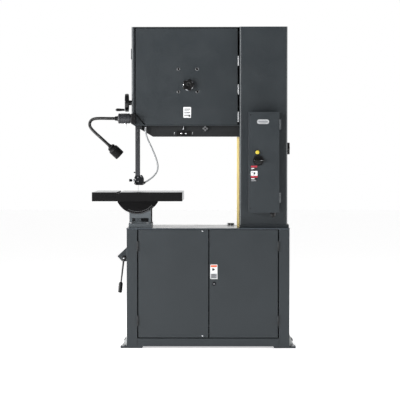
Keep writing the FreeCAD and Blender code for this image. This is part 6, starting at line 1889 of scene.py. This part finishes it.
@dataclass
class SawBlade(Assembly):
    """Endless toothed blade."""

    pitch: float = 6.0
    depth: float = 2.2
    thick: float = 0.9
    bottom_z: float = 420.0
    top_z: float = 1776.0

    def build(self) -> None:
        """Makes the loop, bends its front edge into teeth, gives it its thickness."""
        low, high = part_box("saw_blade")
        x0, x1 = low.x / MM + self.thick / 2, high.x / MM - self.thick / 2
        radius = (x1 - x0) / 2
        middle = (x0 + x1) / 2
        straight = self.top_z - self.bottom_z
        around = 2 * straight + math.tau * radius
        steps = 2 * int(around / self.pitch)
        spots = []
        for k in range(steps):
            s = around * k / steps
            if s < straight:
                spots.append((x0, self.bottom_z + s))
            elif s < straight + math.pi * radius:
                angle = math.pi - (s - straight) / radius
                spots.append((middle + radius * math.cos(angle), self.top_z + radius * math.sin(angle)))
            elif s < 2 * straight + math.pi * radius:
                spots.append((x1, self.top_z - (s - straight - math.pi * radius)))
            else:
                angle = -(s - 2 * straight - math.pi * radius) / radius
                spots.append((middle + radius * math.cos(angle), self.bottom_z + radius * math.sin(angle)))
        bpy.ops.object.select_all(action="DESELECT")
        bpy.ops.mesh.primitive_circle_add(vertices=len(spots), fill_type="NOTHING", radius=1.0)
        blade = fresh("saw_blade_finished")
        front, back = low.y / MM, high.y / MM
        for vertex, (x, z) in zip(blade.data.vertices, spots):
            vertex.co = metres((x, back, z))
        start_edit(blade)
        bpy.ops.mesh.select_mode(type="EDGE")
        bpy.ops.mesh.select_all(action="SELECT")
        bpy.ops.mesh.extrude_region_move(TRANSFORM_OT_translate={"value": metres((0, front - back + 4, 0))})
        bpy.ops.mesh.extrude_region_move(TRANSFORM_OT_translate={"value": metres((0, -4, 0))})
        end_edit()
        count = len(spots)
        for k in range(count):
            if k % 2:
                blade.data.vertices[2 * count + k].co.y += self.depth * MM
        start_edit(blade)
        bpy.ops.mesh.normals_make_consistent(inside=False)
        end_edit()
        apply_modifier(blade, "SOLIDIFY", thickness=self.thick * MM, offset=0.0)
        smooth(blade, 25)
        self.fit(blade, "frame", Finish.BLADE, ["saw_blade"])


@dataclass
class GearLever(Assembly):
    """Gear lever: boss, tapered rod and a moulded grip."""

    pivot: Spot = (-566.0, 596.0)

    def build(self) -> None:
        """Builds the lever."""
        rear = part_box("gear_lever")[1].y / MM
        x, z = self.pivot
        y1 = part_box("gear_housing")[0].y / MM - 0.3
        mid = y1 - 5.0
        at = (x, y1, z)
        boss = smooth(turned("boss", Axis.Y, at, [(0, 0), (15, 0), (15, -11), (13, -13.6), (0, -14)], 48))
        cap = smooth(turned("cap", Axis.Y, (x, y1 - 13.5, z), domed(6, 0, -2.2, 0.8, 0.8), 6), 20)
        shaft = smooth(turned("shaft", Axis.Y, (x, 0, z),
                [(0, y1), (7, y1), (7, rear), (0, rear)], 28))
        knee = (x - 20, mid, z - 170)
        run = Vector((knee[0] - x, 0, knee[2] - z))
        rod = turned_along("rod", (x, mid, z), tuple(run),
                [(0, 6), (7.2, 6), (6.4, 40), (4.8, run.length), (0, run.length)], 32)
        heading = (-6, 0, -64)
        ridged = [(0, -2), (8, -2), (11, 2)]
        for k in range(5):
            along = 8 + 9 * k
            ridged += [(13.2, along), (14, along + 3), (13.2, along + 6), (12.6, along + 7.5)]
        ridged += [(13.4, 56), (13.0, 64), (10, 69), (5, 70), (0, 70)]
        grip = turned_along("grip", (knee[0], mid, knee[2] + 6), heading, ridged, 48)
        lever = self.stack("gear_lever_finished", [
            (boss, Finish.GLOSS), (cap, Finish.CHROME), (shaft, Finish.STEEL), (smooth(rod), Finish.GLOSS),
            (smooth(grip, 50), Finish.BLACK)])
        self.fit(lever, "gear_lever", replaces=["gear_lever"])


# ---------------------------------------------------------------- set: floor, light and camera
@dataclass
class Studio:
    """Plain white studio: floor, backdrop light and camera."""

    eye: Point = (66.0, -12300.0, 1287.0)
    target: Point = (-53.7, -300.0, 987.8)
    view_width: float = 2660.0
    sensor: float = 36.0
    floor_glow: float = 0.56
    front_sky: float = 0.2
    back_sky: float = 1.0

    def floor(self) -> None:
        """Lays a wide white floor."""
        bpy.ops.object.select_all(action="DESELECT")
        bpy.ops.mesh.primitive_plane_add(size=60.0, location=(0, 0, -0.0005))
        floor = fresh("studio_floor")
        material = bpy.data.materials.new("studio_white")
        material.use_nodes = True
        shader = material.node_tree.nodes["Principled BSDF"]
        shader.inputs["Base Color"].default_value = (0.93, 0.93, 0.93, 1.0)
        shader.inputs["Roughness"].default_value = 0.9
        shader.inputs["Specular IOR Level"].default_value = 0.1
        shader.inputs["Emission Color"].default_value = (1.0, 1.0, 1.0, 1.0)
        shader.inputs["Emission Strength"].default_value = self.floor_glow
        floor.data.materials.append(material)

    def sky(self) -> None:
        """Makes the surroundings white to the eye and softer as a light."""
        world = bpy.data.worlds.new("studio")
        bpy.context.scene.world = world
        world.use_nodes = True
        w = Wiring(world.node_tree)
        back = world.node_tree.nodes["Background"]
        seen = w.add("ShaderNodeLightPath").outputs["Is Camera Ray"]
        split = w.add("ShaderNodeSeparateXYZ")
        w.feed(split.inputs[0], w.add("ShaderNodeTexCoord").outputs["Generated"])
        behind = w.ramp(split.outputs["Y"], 0.1, 0.6, self.front_sky, self.back_sky)
        w.feed(back.inputs["Color"], (1.0, 1.0, 1.0, 1.0))
        w.feed(back.inputs["Strength"], w.maths("MAXIMUM", seen, behind))

    def lamp(self, name: str, place: Point, aim: Point, size: Spot, power: float) -> None:
        """Hangs a soft light.

        Args:
            name: The light's name.
            place: Where it hangs, mm.
            aim: What it looks at, mm.
            size: Its width and height, mm.
            power: Its power in watts.
        """
        light = bpy.data.lights.new(name, "AREA")
        light.shape = "RECTANGLE"
        light.size, light.size_y = size[0] * MM, size[1] * MM
        light.energy = power
        lamp = bpy.data.objects.new(name, light)
        bpy.context.collection.objects.link(lamp)
        lamp.location = metres(place)
        lamp.rotation_euler = (metres(aim) - metres(place)).to_track_quat("-Z", "Y").to_euler()

    def camera(self) -> None:
        """Sets the camera."""
        data = bpy.data.cameras.new("camera")
        camera = bpy.data.objects.new("camera", data)
        bpy.context.collection.objects.link(camera)
        eye, target = metres(self.eye), metres(self.target)
        camera.location = eye
        camera.rotation_euler = (target - eye).to_track_quat("-Z", "Y").to_euler()
        data.sensor_width = self.sensor
        data.lens = self.sensor * (target - eye).length / (self.view_width * MM)
        bpy.context.scene.camera = camera

    def build(self) -> None:
        """Builds the whole set."""
        self.floor()
        self.sky()
        self.camera()
        self.lamp("key", (-6200, -6000, 3300), (0, 0, 1300), (900, 900), 240)
        self.lamp("left_panel", (-4000, -1600, 1400), (0, -1600, 1400), (7000, 2600), 380)
        self.lamp("right_panel", (4000, -500, 1400), (0, -500, 1400), (4000, 2600), 120)
        scene = bpy.context.scene
        scene.view_settings.view_transform = "Standard"
        scene.view_settings.look = "None"


def main() -> None:
    """Builds every assembly in order."""
    logging.basicConfig(level=logging.INFO, format="%(name)s: %(message)s")
    palette = Palette()
    Studio().build()
    bodywork = BodyWork(palette)
    bodywork.build()
    CabinetFittings(palette).build()
    HeadFittings(palette).build()
    AirPanel(palette).build()
    ControlBox(palette).build()
    WorkLamp(palette).build()
    BladeGuide(palette).build(bodywork)
    TableFittings(palette).build()
    SawBlade(palette).build()
    GearLever(palette).build()


if __name__ == "__main__":
    main()
